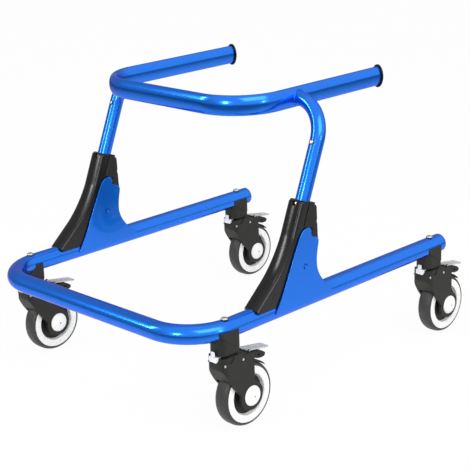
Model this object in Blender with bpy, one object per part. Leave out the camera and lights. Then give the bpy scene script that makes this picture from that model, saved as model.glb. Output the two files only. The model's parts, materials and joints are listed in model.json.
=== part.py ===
"""Gait trainer: a U-shaped tube frame on four casters, with a folding column on each side
that carries a height-adjustable handlebar.

Lengths are in metres. +Z is up and the user faces -Y, so the left side is at +X.
Along Y the frame is measured from the centreline of its front bar, and one empty moves the
whole object so that the middle of its footprint is the origin.
"""

import math

import bmesh
import bpy
from mathutils import Matrix, Vector

MM = 0.001
WELD = 0.001 * MM
JOIN = 1 * MM

# Clearances
GAP = 0.3 * MM
RUNNING_GAP = 0.4 * MM

# Wheel
WHEEL_RADIUS = 63.5 * MM
WHEEL_TOP = 2 * WHEEL_RADIUS
TYRE_DEPTH = 11 * MM
TYRE_SIDE = 7.8 * MM
RIM_BAND = 14.7 * MM

# Base frame
TUBE_RADIUS = 19.05 * MM
TUBE_WALL = 2.0 * MM
RAIL_X = 288.5 * MM
RAIL_OVER_WHEEL = 77.3 * MM
RAIL_Z = WHEEL_TOP + RAIL_OVER_WHEEL
RAIL_END_Y = 742 * MM
BASE_CORNER = 95 * MM
FRONT_STEM_Y = 85.65 * MM
REAR_STEM_Y = 709.6 * MM
PLUG_FLANGE = 1.5 * MM
PLUG_SPIGOT = 12 * MM
PLUG_ROUND = 0.4 * MM

# Handlebar
HANDLE_X = 209.8 * MM
HANDLE_Z = 577.5 * MM
HANDLE_FRONT_Y = 223.3 * MM
HANDLE_END_Y = 627 * MM
HANDLE_CORNER = 100 * MM
HANDLE_HALF_WIDTH = 10.5 * MM
HANDLE_HALF_HEIGHT = 20 * MM
CAP_LIP = 4 * MM
CAP_FLANGE = 4 * MM
CAP_SPIGOT = 15 * MM
CAP_ROUND = 1.2 * MM

# Folding column, in a frame on its pivot: Y runs square to the tube and rearward, Z up the tube
PIVOT_Y = 285.5 * MM
PIVOT_OVER_RAIL = 72.7 * MM
PIVOT_Z = RAIL_Z + PIVOT_OVER_RAIL
LEAN = math.radians(22.08)
TUBE_OFFSET = 29.1 * MM
UPRIGHT_RADIUS = 14.29 * MM
UPRIGHT_WALL = 2.0 * MM
UPRIGHT_FOOT = 27 * MM
UPRIGHT_BEND = 75 * MM
UPRIGHT_BEND_ANGLE = math.radians(78)
UPRIGHT_OVER_HANDLE = 1.4 * MM
SLEEVE_WALL = 1.6 * MM
SLEEVE_FOOT = -50 * MM
SLEEVE_TOP = 118 * MM
KNUCKLE_RADIUS = 9 * MM
KNUCKLE_HALF_HEIGHT = 14 * MM
PIVOT_PIN_RADIUS = 5 * MM
PIVOT_PIN_DOME = 1.6 * MM

# Shroud over the sleeve
SHROUD_HALF = 18.7 * MM
SHROUD_WALL = 2.2 * MM
SHROUD_TOP = 123 * MM
SHROUD_FRONT = 51.4 * MM
SHROUD_REAR = 13.2 * MM
SHROUD_CORNER = 6 * MM
SHROUD_CURVE_START = 52.4 * MM
SHROUD_CURVE = 212 * MM
SHROUD_CURVE_ANGLE = math.radians(26.4)
SHROUD_TAIL_Y = 160 * MM
SHROUD_SKIRT_REAR_Y = 262 * MM
SHROUD_EAR = 12 * MM
SHROUD_EAR_LOW = math.radians(-40)
SHROUD_EAR_HIGH = math.radians(60)
SHROUD_STEP_Z = 48 * MM
NOTCH_HALF = 6 * MM
NOTCH_DEPTH = 16 * MM

# Gusset plates
PLATE_THICKNESS = 3 * MM
BUMP_RADIUS = 61 * MM
BUMP_START = math.radians(60)
BUMP_END = math.radians(54)
# Corners of its edges about the pivot, in millimetres
PLATE_FRONT = [(-84, -72), (-63, -38), (-45, -1), (-29.5, 32), (-14, 62)]
PLATE_LOBE = [(-4, 73), (7, 76), (15, 74), (19, 68)]
PLATE_NOTCH = [(19, 68), (17.5, 60), (21.5, 53.5)]
PLATE_REAR = [(39, 44), (37.5, 35), (34.5, 22), (32.6, 7), (33.5, -10), (39, -24)]
PLATE_HEEL = [(47, -36), (57, -47), (84, -72)]

# Latch: its finger's corners are a radius and an angle from upright about the pivot
LATCH_CHEEK_GAP = 0.4 * MM
LATCH_BUMP_GAP = 1 * MM
LATCH_CHEEK = 2.5 * MM
LATCH_BACK = 2.4 * MM
TIP_RADIUS = 59.5 * MM
TIP_ANGLE = math.radians(21)
TIP_FLAT = 1.5 * MM
TIP_FLARE = 2.5 * MM
OVER_BUMP_ANGLE = math.radians(31)
HEEL_ANGLE = math.radians(38)
LATCH_REAR_TOP = -10.9 * MM
LATCH_REAR_FOOT = (12.8 * MM, 66 * MM)
LATCH_CHIN = -6.2 * MM
LATCH_CHAMFER = 3 * MM
LATCH_FOOT = 74.6 * MM
LATCH_TOP = 118.5 * MM
SCOOP_Z = 93 * MM
SCOOP_RADIUS = 10 * MM
SCOOP_DEPTH = 1.1 * MM
FINGER_TOP = 68.6 * MM

# Height pin and upper button
PIN_Z = 112.5 * MM
PIN_RADIUS = 2.5 * MM
PIN_HEAD_RADIUS = 3.6 * MM
PIN_HEAD = 2.4 * MM
BUTTON_BELOW_BEND = 4.9 * MM
BUTTON_RADIUS = 4 * MM
BUTTON_PROUD = 3 * MM
BUTTON_FLANGE_RADIUS = 6 * MM
BUTTON_FLANGE = 1.5 * MM

# Caster: Y is measured rearward from the stem, Z from the floor
TRAIL = 43.5 * MM
TYRE_HALF = 16 * MM
TYRE_SEAT = WHEEL_RADIUS - TYRE_DEPTH
TYRE_ROUND = 6 * MM
RIM_RADIUS = WHEEL_RADIUS - TYRE_SIDE
RIM_HALF = 15.8 * MM
RIM_INNER = RIM_RADIUS - RIM_BAND
RIM_FLANGE = 2.6 * MM
RIM_WEB_HALF = 9 * MM
RIM_DRAFT = 2.5 * MM
HUB_RADIUS = 13 * MM
AXLE_RADIUS = 5 * MM
HUB_CAP_RADIUS = 20 * MM
HUB_CAP = 7.2 * MM
LEG_INNER = 17.5 * MM
FORK_HALF = 23.5 * MM
FORK_FRONT = 28 * MM
CROWN_HEIGHT = 30 * MM
FORK_TOP = WHEEL_TOP + CROWN_HEIGHT
FORK_CORNER = 12 * MM
FORK_STEP_Y = 20 * MM
FORK_STEP_DOWN = 6 * MM
FORK_DECK_FALL = 3.4 * MM
FORK_DECK_Z = FORK_TOP - FORK_STEP_DOWN
FORK_DECK_END_Z = FORK_DECK_Z - FORK_DECK_FALL
FORK_REAR = 52 * MM
FORK_CHIN_RISE = 6 * MM
FORK_CHIN_Z = WHEEL_TOP + FORK_CHIN_RISE
FORK_LIP_Y = -10 * MM
FORK_LIP_RISE = 38.5 * MM
FORK_LIP_Z = WHEEL_RADIUS + FORK_LIP_RISE
LEG_END_RADIUS = 29 * MM
LEG_FRONT_ANGLE = math.radians(168)
WELL_GAP = 4 * MM
WHEEL_WELL_RADIUS = WHEEL_RADIUS + WELL_GAP
POCKET_HALF = 15.8 * MM
POCKET_FRONT = 16 * MM
DECK_THICKNESS = 2.5 * MM
STRIP_GAP = 1.9 * MM
STRIP_RADIUS = WHEEL_RADIUS + STRIP_GAP
STRIP_THICKNESS = 1.3 * MM
STRIP_HALF = 12.5 * MM
STRIP_ROOT = 4 * MM
STRIP_END_ANGLE = math.radians(47)
BLOCK_HALF = 20.2 * MM
BLOCK_FRONT = 28 * MM
BLOCK_REAR = 20 * MM
BLOCK_CORNER = 6 * MM
TURRET_HEIGHT = 3.6 * MM
SADDLE_RISE = 2 * MM
BLOCK_FOOT_Z = FORK_TOP + TURRET_HEIGHT
BLOCK_TOP_Z = RAIL_Z + SADDLE_RISE
TURRET_RADIUS = 19.8 * MM
STEM_RADIUS = 4 * MM
STEM_HEAD_RADIUS = 7.5 * MM
STEM_HEAD = 4.5 * MM
STEM_NUT_RADIUS = 6.5 * MM
STEM_NUT = 6.5 * MM
NUT_POCKET_RISE = 2.5 * MM
NUT_POCKET_Z = WHEEL_TOP + NUT_POCKET_RISE

# Caster levers
LEVER_PIN_RADIUS = 1.8 * MM
LEVER_PIN_HEAD_RADIUS = 3 * MM
LEVER_PIN_HEAD = 0.9 * MM
LEVER_PIN_RISE = 16 * MM
LEVER_PIN_Z = WHEEL_TOP + LEVER_PIN_RISE
PEDAL_PIN_Y = 23 * MM
TAB_PIN_Y = -22.5 * MM
PEDAL_HALF = 15 * MM
PEDAL_BARREL = 3.6 * MM
PEDAL_BARREL_LOW = math.radians(270)
PEDAL_BARREL_HIGH = math.radians(95)
PEDAL_SHOE_GAP = 8.4 * MM
PEDAL_SHOE_RADIUS = STRIP_RADIUS + PEDAL_SHOE_GAP
# Corners of the pedal behind its pocket from its pin, in millimetres
PEDAL_TOP = [(39, 2.5), (55, -1), (62, -4.8), (69, -10.5)]
PEDAL_UNDER = [(64, -15.8), (51, -16.2), (37, -11), (22, -8.7), (7, -8.5)]
TAB_HALF = 8.5 * MM
TAB_FRONT = 31 * MM
TAB_BARREL = 2.3 * MM
TAB_BARREL_END = math.radians(-170)
TAB_PROUD = 1.6 * MM
TAB_TOP_Z = FORK_TOP + TAB_PROUD
TAB_PAD = 8 * MM
TAB_WALL = 2.8 * MM
TAB_ARM = 4.2 * MM
TAB_SWING = 1.8 * MM
TAB_CHAMFER = 1 * MM
DRAG_HALF = 12 * MM
DRAG_THICKNESS = 2.5 * MM
DRAG_HINGE_Y = 47.5 * MM
DRAG_TIP_Y = 106 * MM
DRAG_TIP_RISE = 13.4 * MM
DRAG_TIP_Z = WHEEL_TOP + DRAG_TIP_RISE
DRAG_BARREL = 2 * MM
DRAG_BARREL_OPEN = math.radians(40)
DRAG_EDGE = 2 * MM
DRAG_PIN = 1.1 * MM
EAR_WIDTH = 2.4 * MM
EAR_RISE = 0.6 * MM
EAR_HALF_LENGTH = 3 * MM

TUBE_SIDES = 16
SMALL_SIDES = 12
PIN_SIDES = 8
WHEEL_SIDES = 24
BEND_STEP = math.radians(18)


def clear_scene():
    for item in list(bpy.data.objects):
        bpy.data.objects.remove(item, do_unlink=True)


def finish(name, colour, roughness, metallic=0.0):
    """One Principled material, its colour in linear values."""
    material = bpy.data.materials.new(name)
    material.use_nodes = True
    shader = material.node_tree.nodes["Principled BSDF"]
    shader.inputs["Base Color"].default_value = (*colour, 1)
    shader.inputs["Roughness"].default_value = roughness
    shader.inputs["Metallic"].default_value = metallic
    return material


def axis_empty(name, parent, location=(0, 0, 0), tilt=0.0):
    """An empty in its parent's frame, turned by tilt about X."""
    empty = bpy.data.objects.new(name, None)
    bpy.context.scene.collection.objects.link(empty)
    empty.parent = parent
    empty.matrix_basis = Matrix.Translation(location) @ Matrix.Rotation(tilt, 4, "X")
    return empty


def add(name, mesh, material, parent, location=(0, 0, 0)):
    """A named object of the mesh, placed in its parent's frame."""
    piece = bpy.data.objects.new(name, mesh)
    bpy.context.scene.collection.objects.link(piece)
    piece.parent = parent
    piece.location = location
    mesh.materials.clear()
    mesh.materials.append(material)
    mesh.shade_smooth()
    mesh.set_sharp_from_angle(angle=math.radians(35))
    return piece


def closed_mesh(shape):
    """The bmesh as a mesh with its faces pointing out."""
    bmesh.ops.remove_doubles(shape, verts=shape.verts, dist=WELD)
    bmesh.ops.recalc_face_normals(shape, faces=shape.faces)
    mesh = bpy.data.meshes.new("shape")
    shape.to_mesh(mesh)
    shape.free()
    return mesh


def prism(outline, low, high, axis="X"):
    """The outline, in (Y, Z) or for axis Z in (X, Y), extruded from low to high."""
    shape = bmesh.new()
    if axis == "X":
        corners = [shape.verts.new((low, a, b)) for a, b in outline]
        reach = Vector((high - low, 0, 0))
    else:
        corners = [shape.verts.new((a, b, low)) for a, b in outline]
        reach = Vector((0, 0, high - low))
    face = shape.faces.new(corners)
    grown = bmesh.ops.extrude_face_region(shape, geom=[face])
    top = [item for item in grown["geom"] if isinstance(item, bmesh.types.BMVert)]
    bmesh.ops.translate(shape, verts=top, vec=reach)
    return closed_mesh(shape)


def turned(profile, sides, axis="Z"):
    """A solid of revolution from a closed profile of (radius, height) points."""
    shape = bmesh.new()
    points = [shape.verts.new((radius, 0, height)) for radius, height in profile]
    edges = [shape.edges.new(pair) for pair in zip(points, points[1:])]
    if profile[0][0] > 0 or profile[-1][0] > 0:
        edges.append(shape.edges.new((points[-1], points[0])))
    ring = points + edges
    bmesh.ops.spin(
        shape, geom=ring, cent=(0, 0, 0), axis=(0, 0, 1), angle=math.tau, steps=sides, use_merge=True
    )
    if axis == "X":
        bmesh.ops.rotate(shape, matrix=Matrix.Rotation(math.pi / 2, 3, "Y"), verts=shape.verts)
    elif axis == "Y":
        bmesh.ops.rotate(shape, matrix=Matrix.Rotation(-math.pi / 2, 3, "X"), verts=shape.verts)
    return closed_mesh(shape)


def rod(radius, low, high, axis="Z", sides=SMALL_SIDES):
    return turned([(0, low), (radius, low), (radius, high), (0, high)], sides, axis)


def skin(shape, start, heading, moves, size, sides):
    """One wall of a bent tube, as the loops of edges at its two ends.

    The size is (half width, half height). A move is a length to run, or (toward, radius, angle) to bend.
    """
    place = Matrix.Translation(start) @ heading.to_track_quat("Z", "Y").to_matrix().to_4x4()
    section = place @ Matrix.Diagonal((*size, 1, 1))
    ring = bmesh.ops.create_circle(shape, segments=sides, radius=1, matrix=section)["verts"]
    first = list({edge for vert in ring for edge in vert.link_edges})
    last = first
    position = Vector(start)
    for move in moves:
        if isinstance(move, tuple):
            toward, bend, angle = move
            centre = position + toward * bend
            hinge = heading.cross(toward)
            steps = math.ceil(angle / BEND_STEP)
            spun = bmesh.ops.spin(
                shape, geom=last, cent=centre, axis=hinge, angle=angle, steps=steps, use_duplicate=False
            )["geom_last"]
            turn = Matrix.Rotation(angle, 3, hinge)
            position = centre + turn @ (position - centre)
            heading = turn @ heading
        else:
            spun = bmesh.ops.extrude_edge_only(shape, edges=last)["geom"]
            verts = [item for item in spun if isinstance(item, bmesh.types.BMVert)]
            bmesh.ops.translate(shape, verts=verts, vec=heading * move)
            position = position + heading * move
        ends = {item for item in spun if isinstance(item, bmesh.types.BMVert)}
        last = [edge for edge in shape.edges if edge.verts[0] in ends and edge.verts[1] in ends]
    return first, last


def close_end(shape, ring, bore):
    """Faces between two concentric rings of edges, each corner to the nearest one of the bore."""
    corners = {vert for edge in bore for vert in edge.verts}
    for edge in ring:
        start, end = edge.verts
        near = [min(corners, key=lambda vert: (vert.co - corner.co).length) for corner in (end, start)]
        shape.faces.new((start, end, *near))


def bent_tube(start, heading, moves, size, wall=None):
    """A tube along the moves, open at both ends, or a solid bar where no wall is given."""
    shape = bmesh.new()
    start, heading = Vector(start), Vector(heading)
    outer = skin(shape, start, heading, moves, size, TUBE_SIDES)
    if wall is None:
        for ring in outer:
            bmesh.ops.contextual_create(shape, geom=ring)
    else:
        bore = (size[0] - wall, size[1] - wall)
        inner = skin(shape, start, heading, moves, bore, TUBE_SIDES)
        for ring, bore in zip(outer, inner):
            close_end(shape, ring, bore)
    return closed_mesh(shape)


def combined(body, others, operation="DIFFERENCE"):
    """The body mesh with each of the other meshes cut out, joined on or kept in common."""
    holder = bpy.data.objects.new("blank", body)
    bpy.context.scene.collection.objects.link(holder)
    tools = []
    for mesh in others:
        tool = bpy.data.objects.new("cutter", mesh)
        bpy.context.scene.collection.objects.link(tool)
        tool.hide_render = True
        tool.display_type = "WIRE"
        cut = holder.modifiers.new("cut", "BOOLEAN")
        cut.operation = operation
        cut.solver = "EXACT"
        cut.object = tool
        tools.append(tool)
    graph = bpy.context.evaluated_depsgraph_get()
    shape = bmesh.new()
    shape.from_mesh(holder.evaluated_get(graph).data)
    for used in (holder, *tools):
        bpy.data.objects.remove(used, do_unlink=True)
    return closed_mesh(shape)


def moved(mesh, location=(0, 0, 0), tilt=0.0):
    """The mesh turned by tilt about X and moved."""
    mesh.transform(Matrix.Translation(location) @ Matrix.Rotation(tilt, 4, "X"))
    return mesh


def dome(radius, seat, height, steps=3):
    """The profile of a domed head, from its rim on the seat to its crown."""
    angles = [math.pi / 2 * i / steps for i in range(steps)]
    rim = [(radius * math.cos(a), seat + height * math.sin(a)) for a in angles]
    return rim + [(0, seat + height)]


def both_ends(upper):
    """A profile of (radius, along) with its mirror image put before it."""
    return [(radius, -along) for radius, along in reversed(upper)] + upper


def arc(centre, radius, start, end, steps):
    """Points on a circle from one angle to another."""
    angles = [start + (end - start) * i / steps for i in range(steps + 1)]
    return [(centre[0] + radius * math.cos(a), centre[1] + radius * math.sin(a)) for a in angles]


def through(points, steps):
    """Points on a smooth curve through the given points, which are in millimetres."""
    knots = [Vector(point) * MM for point in points]
    run = []
    for i in range(len(knots) - 1):
        before, start, end = knots[max(i - 1, 0)], knots[i], knots[i + 1]
        after = knots[min(i + 2, len(knots) - 1)]
        for step in range(steps):
            t = step / steps
            square = (2 * before - 5 * start + 4 * end - after) * t**2
            cube = (3 * start - before - 3 * end + after) * t**3
            run.append(start + ((end - before) * t + square + cube) / 2)
    return [tuple(point) for point in run + [knots[-1]]]


def rounded_plan(half, front, rear, front_radius, rear_radius=0.0):
    """A rectangle in (X, Y) with rounded corners, front towards -Y."""
    steps = 3
    plan = arc((half - front_radius, -front + front_radius), front_radius, -math.pi / 2, 0, steps)
    if rear_radius:
        plan += arc((half - rear_radius, rear - rear_radius), rear_radius, 0, math.pi / 2, steps)
    else:
        plan += [(half, rear)]
    return plan + [(-x, y) for x, y in reversed(plan)]


def in_column(y, z):
    """A point of the base's frame, in the frame of the column's pivot."""
    y, z = y - PIVOT_Y, z - PIVOT_Z
    return (y * math.cos(LEAN) - z * math.sin(LEAN), y * math.sin(LEAN) + z * math.cos(LEAN))


def upright_end():
    """Height in the column's frame at which the upright's line meets the handlebar."""
    rise = HANDLE_Z - PIVOT_Z
    along = (rise * math.sin(LEAN) - TUBE_OFFSET) / math.cos(LEAN)
    return rise * math.cos(LEAN) + along * math.sin(LEAN) + UPRIGHT_OVER_HANDLE


def upright_across():
    """How far the upright still runs towards the handlebar after its bend."""
    return RAIL_X - HANDLE_X - UPRIGHT_BEND * (1 - math.cos(UPRIGHT_BEND_ANGLE))


def upright_bend_start():
    bend_rise = UPRIGHT_BEND * math.sin(UPRIGHT_BEND_ANGLE)
    return upright_end() - bend_rise - upright_across() / math.tan(UPRIGHT_BEND_ANGLE)


def base_tube(radius, wall=None):
    forward, inward, back = Vector((0, -1, 0)), Vector((-1, 0, 0)), Vector((0, 1, 0))
    quarter = math.pi / 2
    run, across = RAIL_END_Y - BASE_CORNER, 2 * (RAIL_X - BASE_CORNER)
    moves = [run, (inward, BASE_CORNER, quarter), across, (back, BASE_CORNER, quarter), run]
    return bent_tube((RAIL_X, RAIL_END_Y, RAIL_Z), forward, moves, (radius, radius), wall)


def base_frame():
    """The floor-level tube with a hole for each caster's stem bolt."""
    holes = []
    for x in (RAIL_X, -RAIL_X):
        for y in (FRONT_STEM_Y, REAR_STEM_Y):
            hole = rod(STEM_RADIUS + GAP, RAIL_Z - 2 * TUBE_RADIUS, RAIL_Z + 2 * TUBE_RADIUS)
            holes.append(moved(hole, (x, y, 0)))
    return combined(base_tube(TUBE_RADIUS, TUBE_WALL), holes)


def end_plug(size, lip, flange, spigot, rounding):
    """A plug along Y: a spigot in the tube's bore and a flange, wider than the tube by the lip."""
    fit = TUBE_WALL + GAP
    levels = [
        (fit + rounding, -spigot),
        (fit, rounding - spigot),
        (fit, GAP),
        (-lip, GAP),
        (-lip, GAP + flange - rounding),
        (rounding - lip, GAP + flange),
    ]
    shape = bmesh.new()
    rings = []
    for inset, along in levels:
        place = Matrix.Translation((0, along, 0)) @ Matrix.Rotation(math.pi / 2, 4, "X")
        section = place @ Matrix.Diagonal((size[0] - inset, size[1] - inset, 1, 1))
        rings.append(bmesh.ops.create_circle(shape, segments=TUBE_SIDES, radius=1, matrix=section)["verts"])
    for ring, beyond in zip(rings, rings[1:]):
        for i in range(TUBE_SIDES):
            shape.faces.new((ring[i - 1], ring[i], beyond[i], beyond[i - 1]))
    shape.faces.new(rings[0])
    shape.faces.new(rings[-1])
    return closed_mesh(shape)


def gusset_plate():
    """The outline of a plate about the pivot: a foot on the rail, a lobe, a notch and a bump behind it."""
    bump = arc((0, 0), BUMP_RADIUS, BUMP_START, BUMP_END, 2)
    front, notch, rear = PLATE_FRONT + PLATE_LOBE, PLATE_NOTCH, PLATE_REAR + PLATE_HEEL
    return through(front, 2)[:-1] + through(notch, 2) + bump + through(rear, 2)


def plate(low, high):
    hole = rod(PIVOT_PIN_RADIUS + GAP, low - PLATE_THICKNESS, high + PLATE_THICKNESS, "X")
    return combined(prism(gusset_plate(), low, high), [hole])


def pivot_pin():
    """The pin along X that the column folds on, its domed ends just proud of the plates."""
    face = TUBE_RADIUS + GAP + PLATE_THICKNESS
    return turned(both_ends(dome(PIVOT_PIN_RADIUS, face, PIVOT_PIN_DOME)), SMALL_SIDES, "X")


def shroud_front(offset):
    """The shroud's front line from the top down, moved in by offset, up to the start of its tail."""
    start = (-SHROUD_FRONT + offset, SHROUD_CURVE_START)
    centre = (start[0] - SHROUD_CURVE - offset, start[1])
    return arc(centre, SHROUD_CURVE + offset, 0, -SHROUD_CURVE_ANGLE, 4)


def shroud():
    """The moulded cover over the sleeve: a channel open to the rear whose tail straddles the rail."""
    skirt_z = RAIL_Z + math.sqrt((TUBE_RADIUS + RUNNING_GAP) ** 2 - (SHROUD_HALF - SHROUD_WALL) ** 2)
    tail = in_column(SHROUD_TAIL_Y, skirt_z)
    front = shroud_front(0)
    slope = Vector((-math.sin(SHROUD_CURVE_ANGLE), -math.cos(SHROUD_CURVE_ANGLE)))
    tail_run = (Vector(tail) - Vector(front[-1])).dot(slope)
    tail_top = tuple(Vector(front[-1]) + slope * tail_run)
    outline = [(-SHROUD_FRONT, SHROUD_TOP)] + front + [tail_top, tail]
    outline += [in_column(SHROUD_SKIRT_REAR_Y, skirt_z)]
    outline += arc((0, 0), SHROUD_EAR, SHROUD_EAR_LOW, SHROUD_EAR_HIGH, 4)
    outline += [(-SHROUD_REAR, SHROUD_STEP_Z), (-SHROUD_REAR, SHROUD_TOP)]
    body = prism(outline, -SHROUD_HALF, SHROUD_HALF)

    shape = bmesh.new()
    shape.from_mesh(body)
    nose_line = [Vector(point) for point in outline[: len(front) + 2]]
    nose = []
    for edge in shape.edges:
        on_line = [min((vert.co.yz - point).length for point in nose_line) < WELD for vert in edge.verts]
        if all(on_line) and abs(edge.verts[0].co.x - edge.verts[1].co.x) < WELD:
            nose.append(edge)
    bmesh.ops.bevel(
        shape, geom=nose, offset=SHROUD_CORNER, offset_type="OFFSET", segments=3, profile=0.5, affect="EDGES"
    )
    shape.to_mesh(body)
    shape.free()

    inner_front = shroud_front(SHROUD_WALL)
    inner_tail = tuple(Vector(inner_front[-1]) + slope * (tail_run + SHROUD_EAR))
    rear = 2 * SHROUD_EAR
    cavity = [(-SHROUD_FRONT + SHROUD_WALL, SHROUD_TOP - SHROUD_WALL)] + inner_front + [inner_tail]
    cavity += [(rear, inner_tail[1]), (rear, SHROUD_TOP - SHROUD_WALL)]
    half = SHROUD_HALF - SHROUD_WALL
    rail = base_rail_cutter()
    top_hole = rod(UPRIGHT_RADIUS + RUNNING_GAP, 0, 2 * SHROUD_TOP, sides=TUBE_SIDES)
    moved(top_hole, (0, -TUBE_OFFSET, 0))
    notch = prism(
        [
            (-2 * SHROUD_FRONT, SHROUD_TOP - NOTCH_DEPTH),
            (-TUBE_OFFSET - UPRIGHT_RADIUS, SHROUD_TOP - NOTCH_DEPTH),
            (-TUBE_OFFSET - UPRIGHT_RADIUS, 2 * SHROUD_TOP),
            (-2 * SHROUD_FRONT, 2 * SHROUD_TOP),
        ],
        -NOTCH_HALF,
        NOTCH_HALF,
    )
    pivot = rod(PIVOT_PIN_RADIUS + GAP, -2 * SHROUD_HALF, 2 * SHROUD_HALF, "X")
    return combined(body, [prism(cavity, -half, half), rail, top_hole, notch, pivot])


def base_rail_cutter():
    """A bar of the rail's size and a clearance, in the column's frame."""
    bar = rod(TUBE_RADIUS + RUNNING_GAP, 0, RAIL_END_Y, "Y", TUBE_SIDES)
    turn = Matrix.Rotation(LEAN, 4, "X")
    bar.transform(turn @ Matrix.Translation((0, -PIVOT_Y, RAIL_Z - PIVOT_Z)))
    return bar


def sleeve():
    """The steel tube that the upright slides in, with the knuckle that turns on the pivot pin."""
    outer = UPRIGHT_RADIUS + GAP + SLEEVE_WALL
    length = SLEEVE_TOP - SLEEVE_FOOT
    tube = bent_tube((0, -TUBE_OFFSET, SLEEVE_FOOT), (0, 0, 1), [length], (outer, outer), SLEEVE_WALL)
    half_turn = math.pi / 2
    outline = arc((0, 0), KNUCKLE_RADIUS, -half_turn, half_turn, 6)
    front = -TUBE_OFFSET + UPRIGHT_RADIUS / 2
    outline += [(front, KNUCKLE_HALF_HEIGHT), (front, -KNUCKLE_HALF_HEIGHT)]
    half = SHROUD_HALF - SHROUD_WALL - GAP
    seat_radius = outer - SLEEVE_WALL / 2
    seat = moved(rod(seat_radius, 2 * SLEEVE_FOOT, 2 * SLEEVE_TOP, sides=TUBE_SIDES), (0, -TUBE_OFFSET, 0))
    knuckle = combined(prism(outline, -half, half), [seat])
    joined = combined(tube, [knuckle], "UNION")
    pivot = rod(PIVOT_PIN_RADIUS + GAP, -2 * half, 2 * half, "X")
    pin_hole = moved(rod(PIN_RADIUS + GAP, 0, TUBE_OFFSET, "Y"), (0, -2 * TUBE_OFFSET, PIN_Z))
    return combined(joined, [pivot, pin_hole])


def about_pivot(radius, angle):
    """A point at an angle from upright, rearward, in the column's frame."""
    turned_by = angle - LEAN
    return (radius * math.sin(turned_by), radius * math.cos(turned_by))


def latch():
    """A U-shaped catch round the shroud's rear whose two fingers sit in the plates' notches."""
    cheek_inner = SHROUD_HALF + LATCH_CHEEK_GAP
    cheek_outer = cheek_inner + LATCH_CHEEK
    clear = BUMP_RADIUS + LATCH_BUMP_GAP
    tip = about_pivot(TIP_RADIUS, TIP_ANGLE)
    front = -TUBE_OFFSET
    outline = [
        (front, LATCH_TOP),
        (LATCH_REAR_TOP - LATCH_CHAMFER, LATCH_TOP),
        (LATCH_REAR_TOP, LATCH_TOP - LATCH_CHAMFER),
        LATCH_REAR_FOOT,
        about_pivot(clear, HEEL_ANGLE),
        about_pivot(clear, OVER_BUMP_ANGLE),
        (tip[0] + TIP_FLAT, tip[1]),
        tip,
        (tip[0] - TIP_FLARE, tip[1] + TIP_FLARE),
        (LATCH_CHIN, LATCH_FOOT),
        (front, LATCH_FOOT),
    ]
    body = prism(outline, -cheek_outer, cheek_outer)
    foot_y, foot_z = LATCH_REAR_FOOT
    back = LATCH_REAR_TOP - LATCH_BACK
    inside = [
        (2 * front, 2 * LATCH_TOP),
        (back, 2 * LATCH_TOP),
        (back, LATCH_TOP),
        (foot_y - LATCH_BACK, foot_z),
        (foot_y - LATCH_BACK, 0),
        (2 * front, 0),
    ]
    reach = 2 * TUBE_OFFSET
    under = [(-reach, FINGER_TOP), (reach, FINGER_TOP), (reach, 0), (-reach, 0)]
    share = (LATCH_TOP - SCOOP_Z) / (LATCH_TOP - foot_z)
    scoop_y = LATCH_REAR_TOP + (foot_y - LATCH_REAR_TOP) * share + SCOOP_RADIUS - SCOOP_DEPTH
    scoop = moved(rod(SCOOP_RADIUS, -reach, reach, "X"), (0, scoop_y, SCOOP_Z))
    slots = [prism(gap, -cheek_inner, cheek_inner) for gap in (inside, under)]
    return combined(body, [*slots, scoop])


def height_pin():
    """The plunger that locks the upright, its head in the shroud's notch; along Y, head forward."""
    tip = -TUBE_OFFSET - UPRIGHT_RADIUS - GAP
    seat = -TUBE_OFFSET - UPRIGHT_RADIUS - 2 * GAP - SLEEVE_WALL
    head = dome(PIN_HEAD_RADIUS, seat, -PIN_HEAD)
    profile = head[::-1] + [(PIN_RADIUS, seat), (PIN_RADIUS, tip), (0, tip)]
    return moved(turned(profile, SMALL_SIDES, "Y"), (0, 0, PIN_Z))


def upper_button():
    """The spring button in the upright's front wall, with the flange that keeps it in; along Y."""
    bore = UPRIGHT_RADIUS - UPRIGHT_WALL
    flange = -math.sqrt(bore**2 - BUTTON_FLANGE_RADIUS**2) + GAP
    crown = dome(BUTTON_RADIUS, -UPRIGHT_RADIUS - BUTTON_PROUD / 2, -BUTTON_PROUD / 2)
    profile = crown[::-1] + [
        (BUTTON_RADIUS, flange),
        (BUTTON_FLANGE_RADIUS, flange),
        (BUTTON_FLANGE_RADIUS, flange + BUTTON_FLANGE),
        (0, flange + BUTTON_FLANGE),
    ]
    return turned(profile, SMALL_SIDES, "Y")


def upright(side):
    """The telescoping tube in the column's frame about its own axis, bent in to meet the handlebar."""
    toward = Vector((-side, 0, 0))
    moves = [
        upright_bend_start() - UPRIGHT_FOOT,
        (toward, UPRIGHT_BEND, UPRIGHT_BEND_ANGLE),
        upright_across() / math.sin(UPRIGHT_BEND_ANGLE),
    ]
    tube = bent_tube((0, 0, UPRIGHT_FOOT), (0, 0, 1), moves, (UPRIGHT_RADIUS, UPRIGHT_RADIUS), UPRIGHT_WALL)
    arm_size = (HANDLE_HALF_WIDTH + GAP, HANDLE_HALF_HEIGHT + GAP)
    arm = bent_tube((0, HANDLE_END_Y, 0), (0, -1, 0), [2 * HANDLE_END_Y], arm_size)
    y, z = in_column(PIVOT_Y, HANDLE_Z)
    arm.transform(
        Matrix.Translation((-side * (RAIL_X - HANDLE_X), y + TUBE_OFFSET, z)) @ Matrix.Rotation(LEAN, 4, "X")
    )
    button_z = upright_bend_start() - BUTTON_BELOW_BEND
    hole = moved(rod(BUTTON_RADIUS + GAP, -2 * UPRIGHT_RADIUS, 0, "Y"), (0, 0, button_z))
    return combined(tube, [arm, hole])


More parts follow.
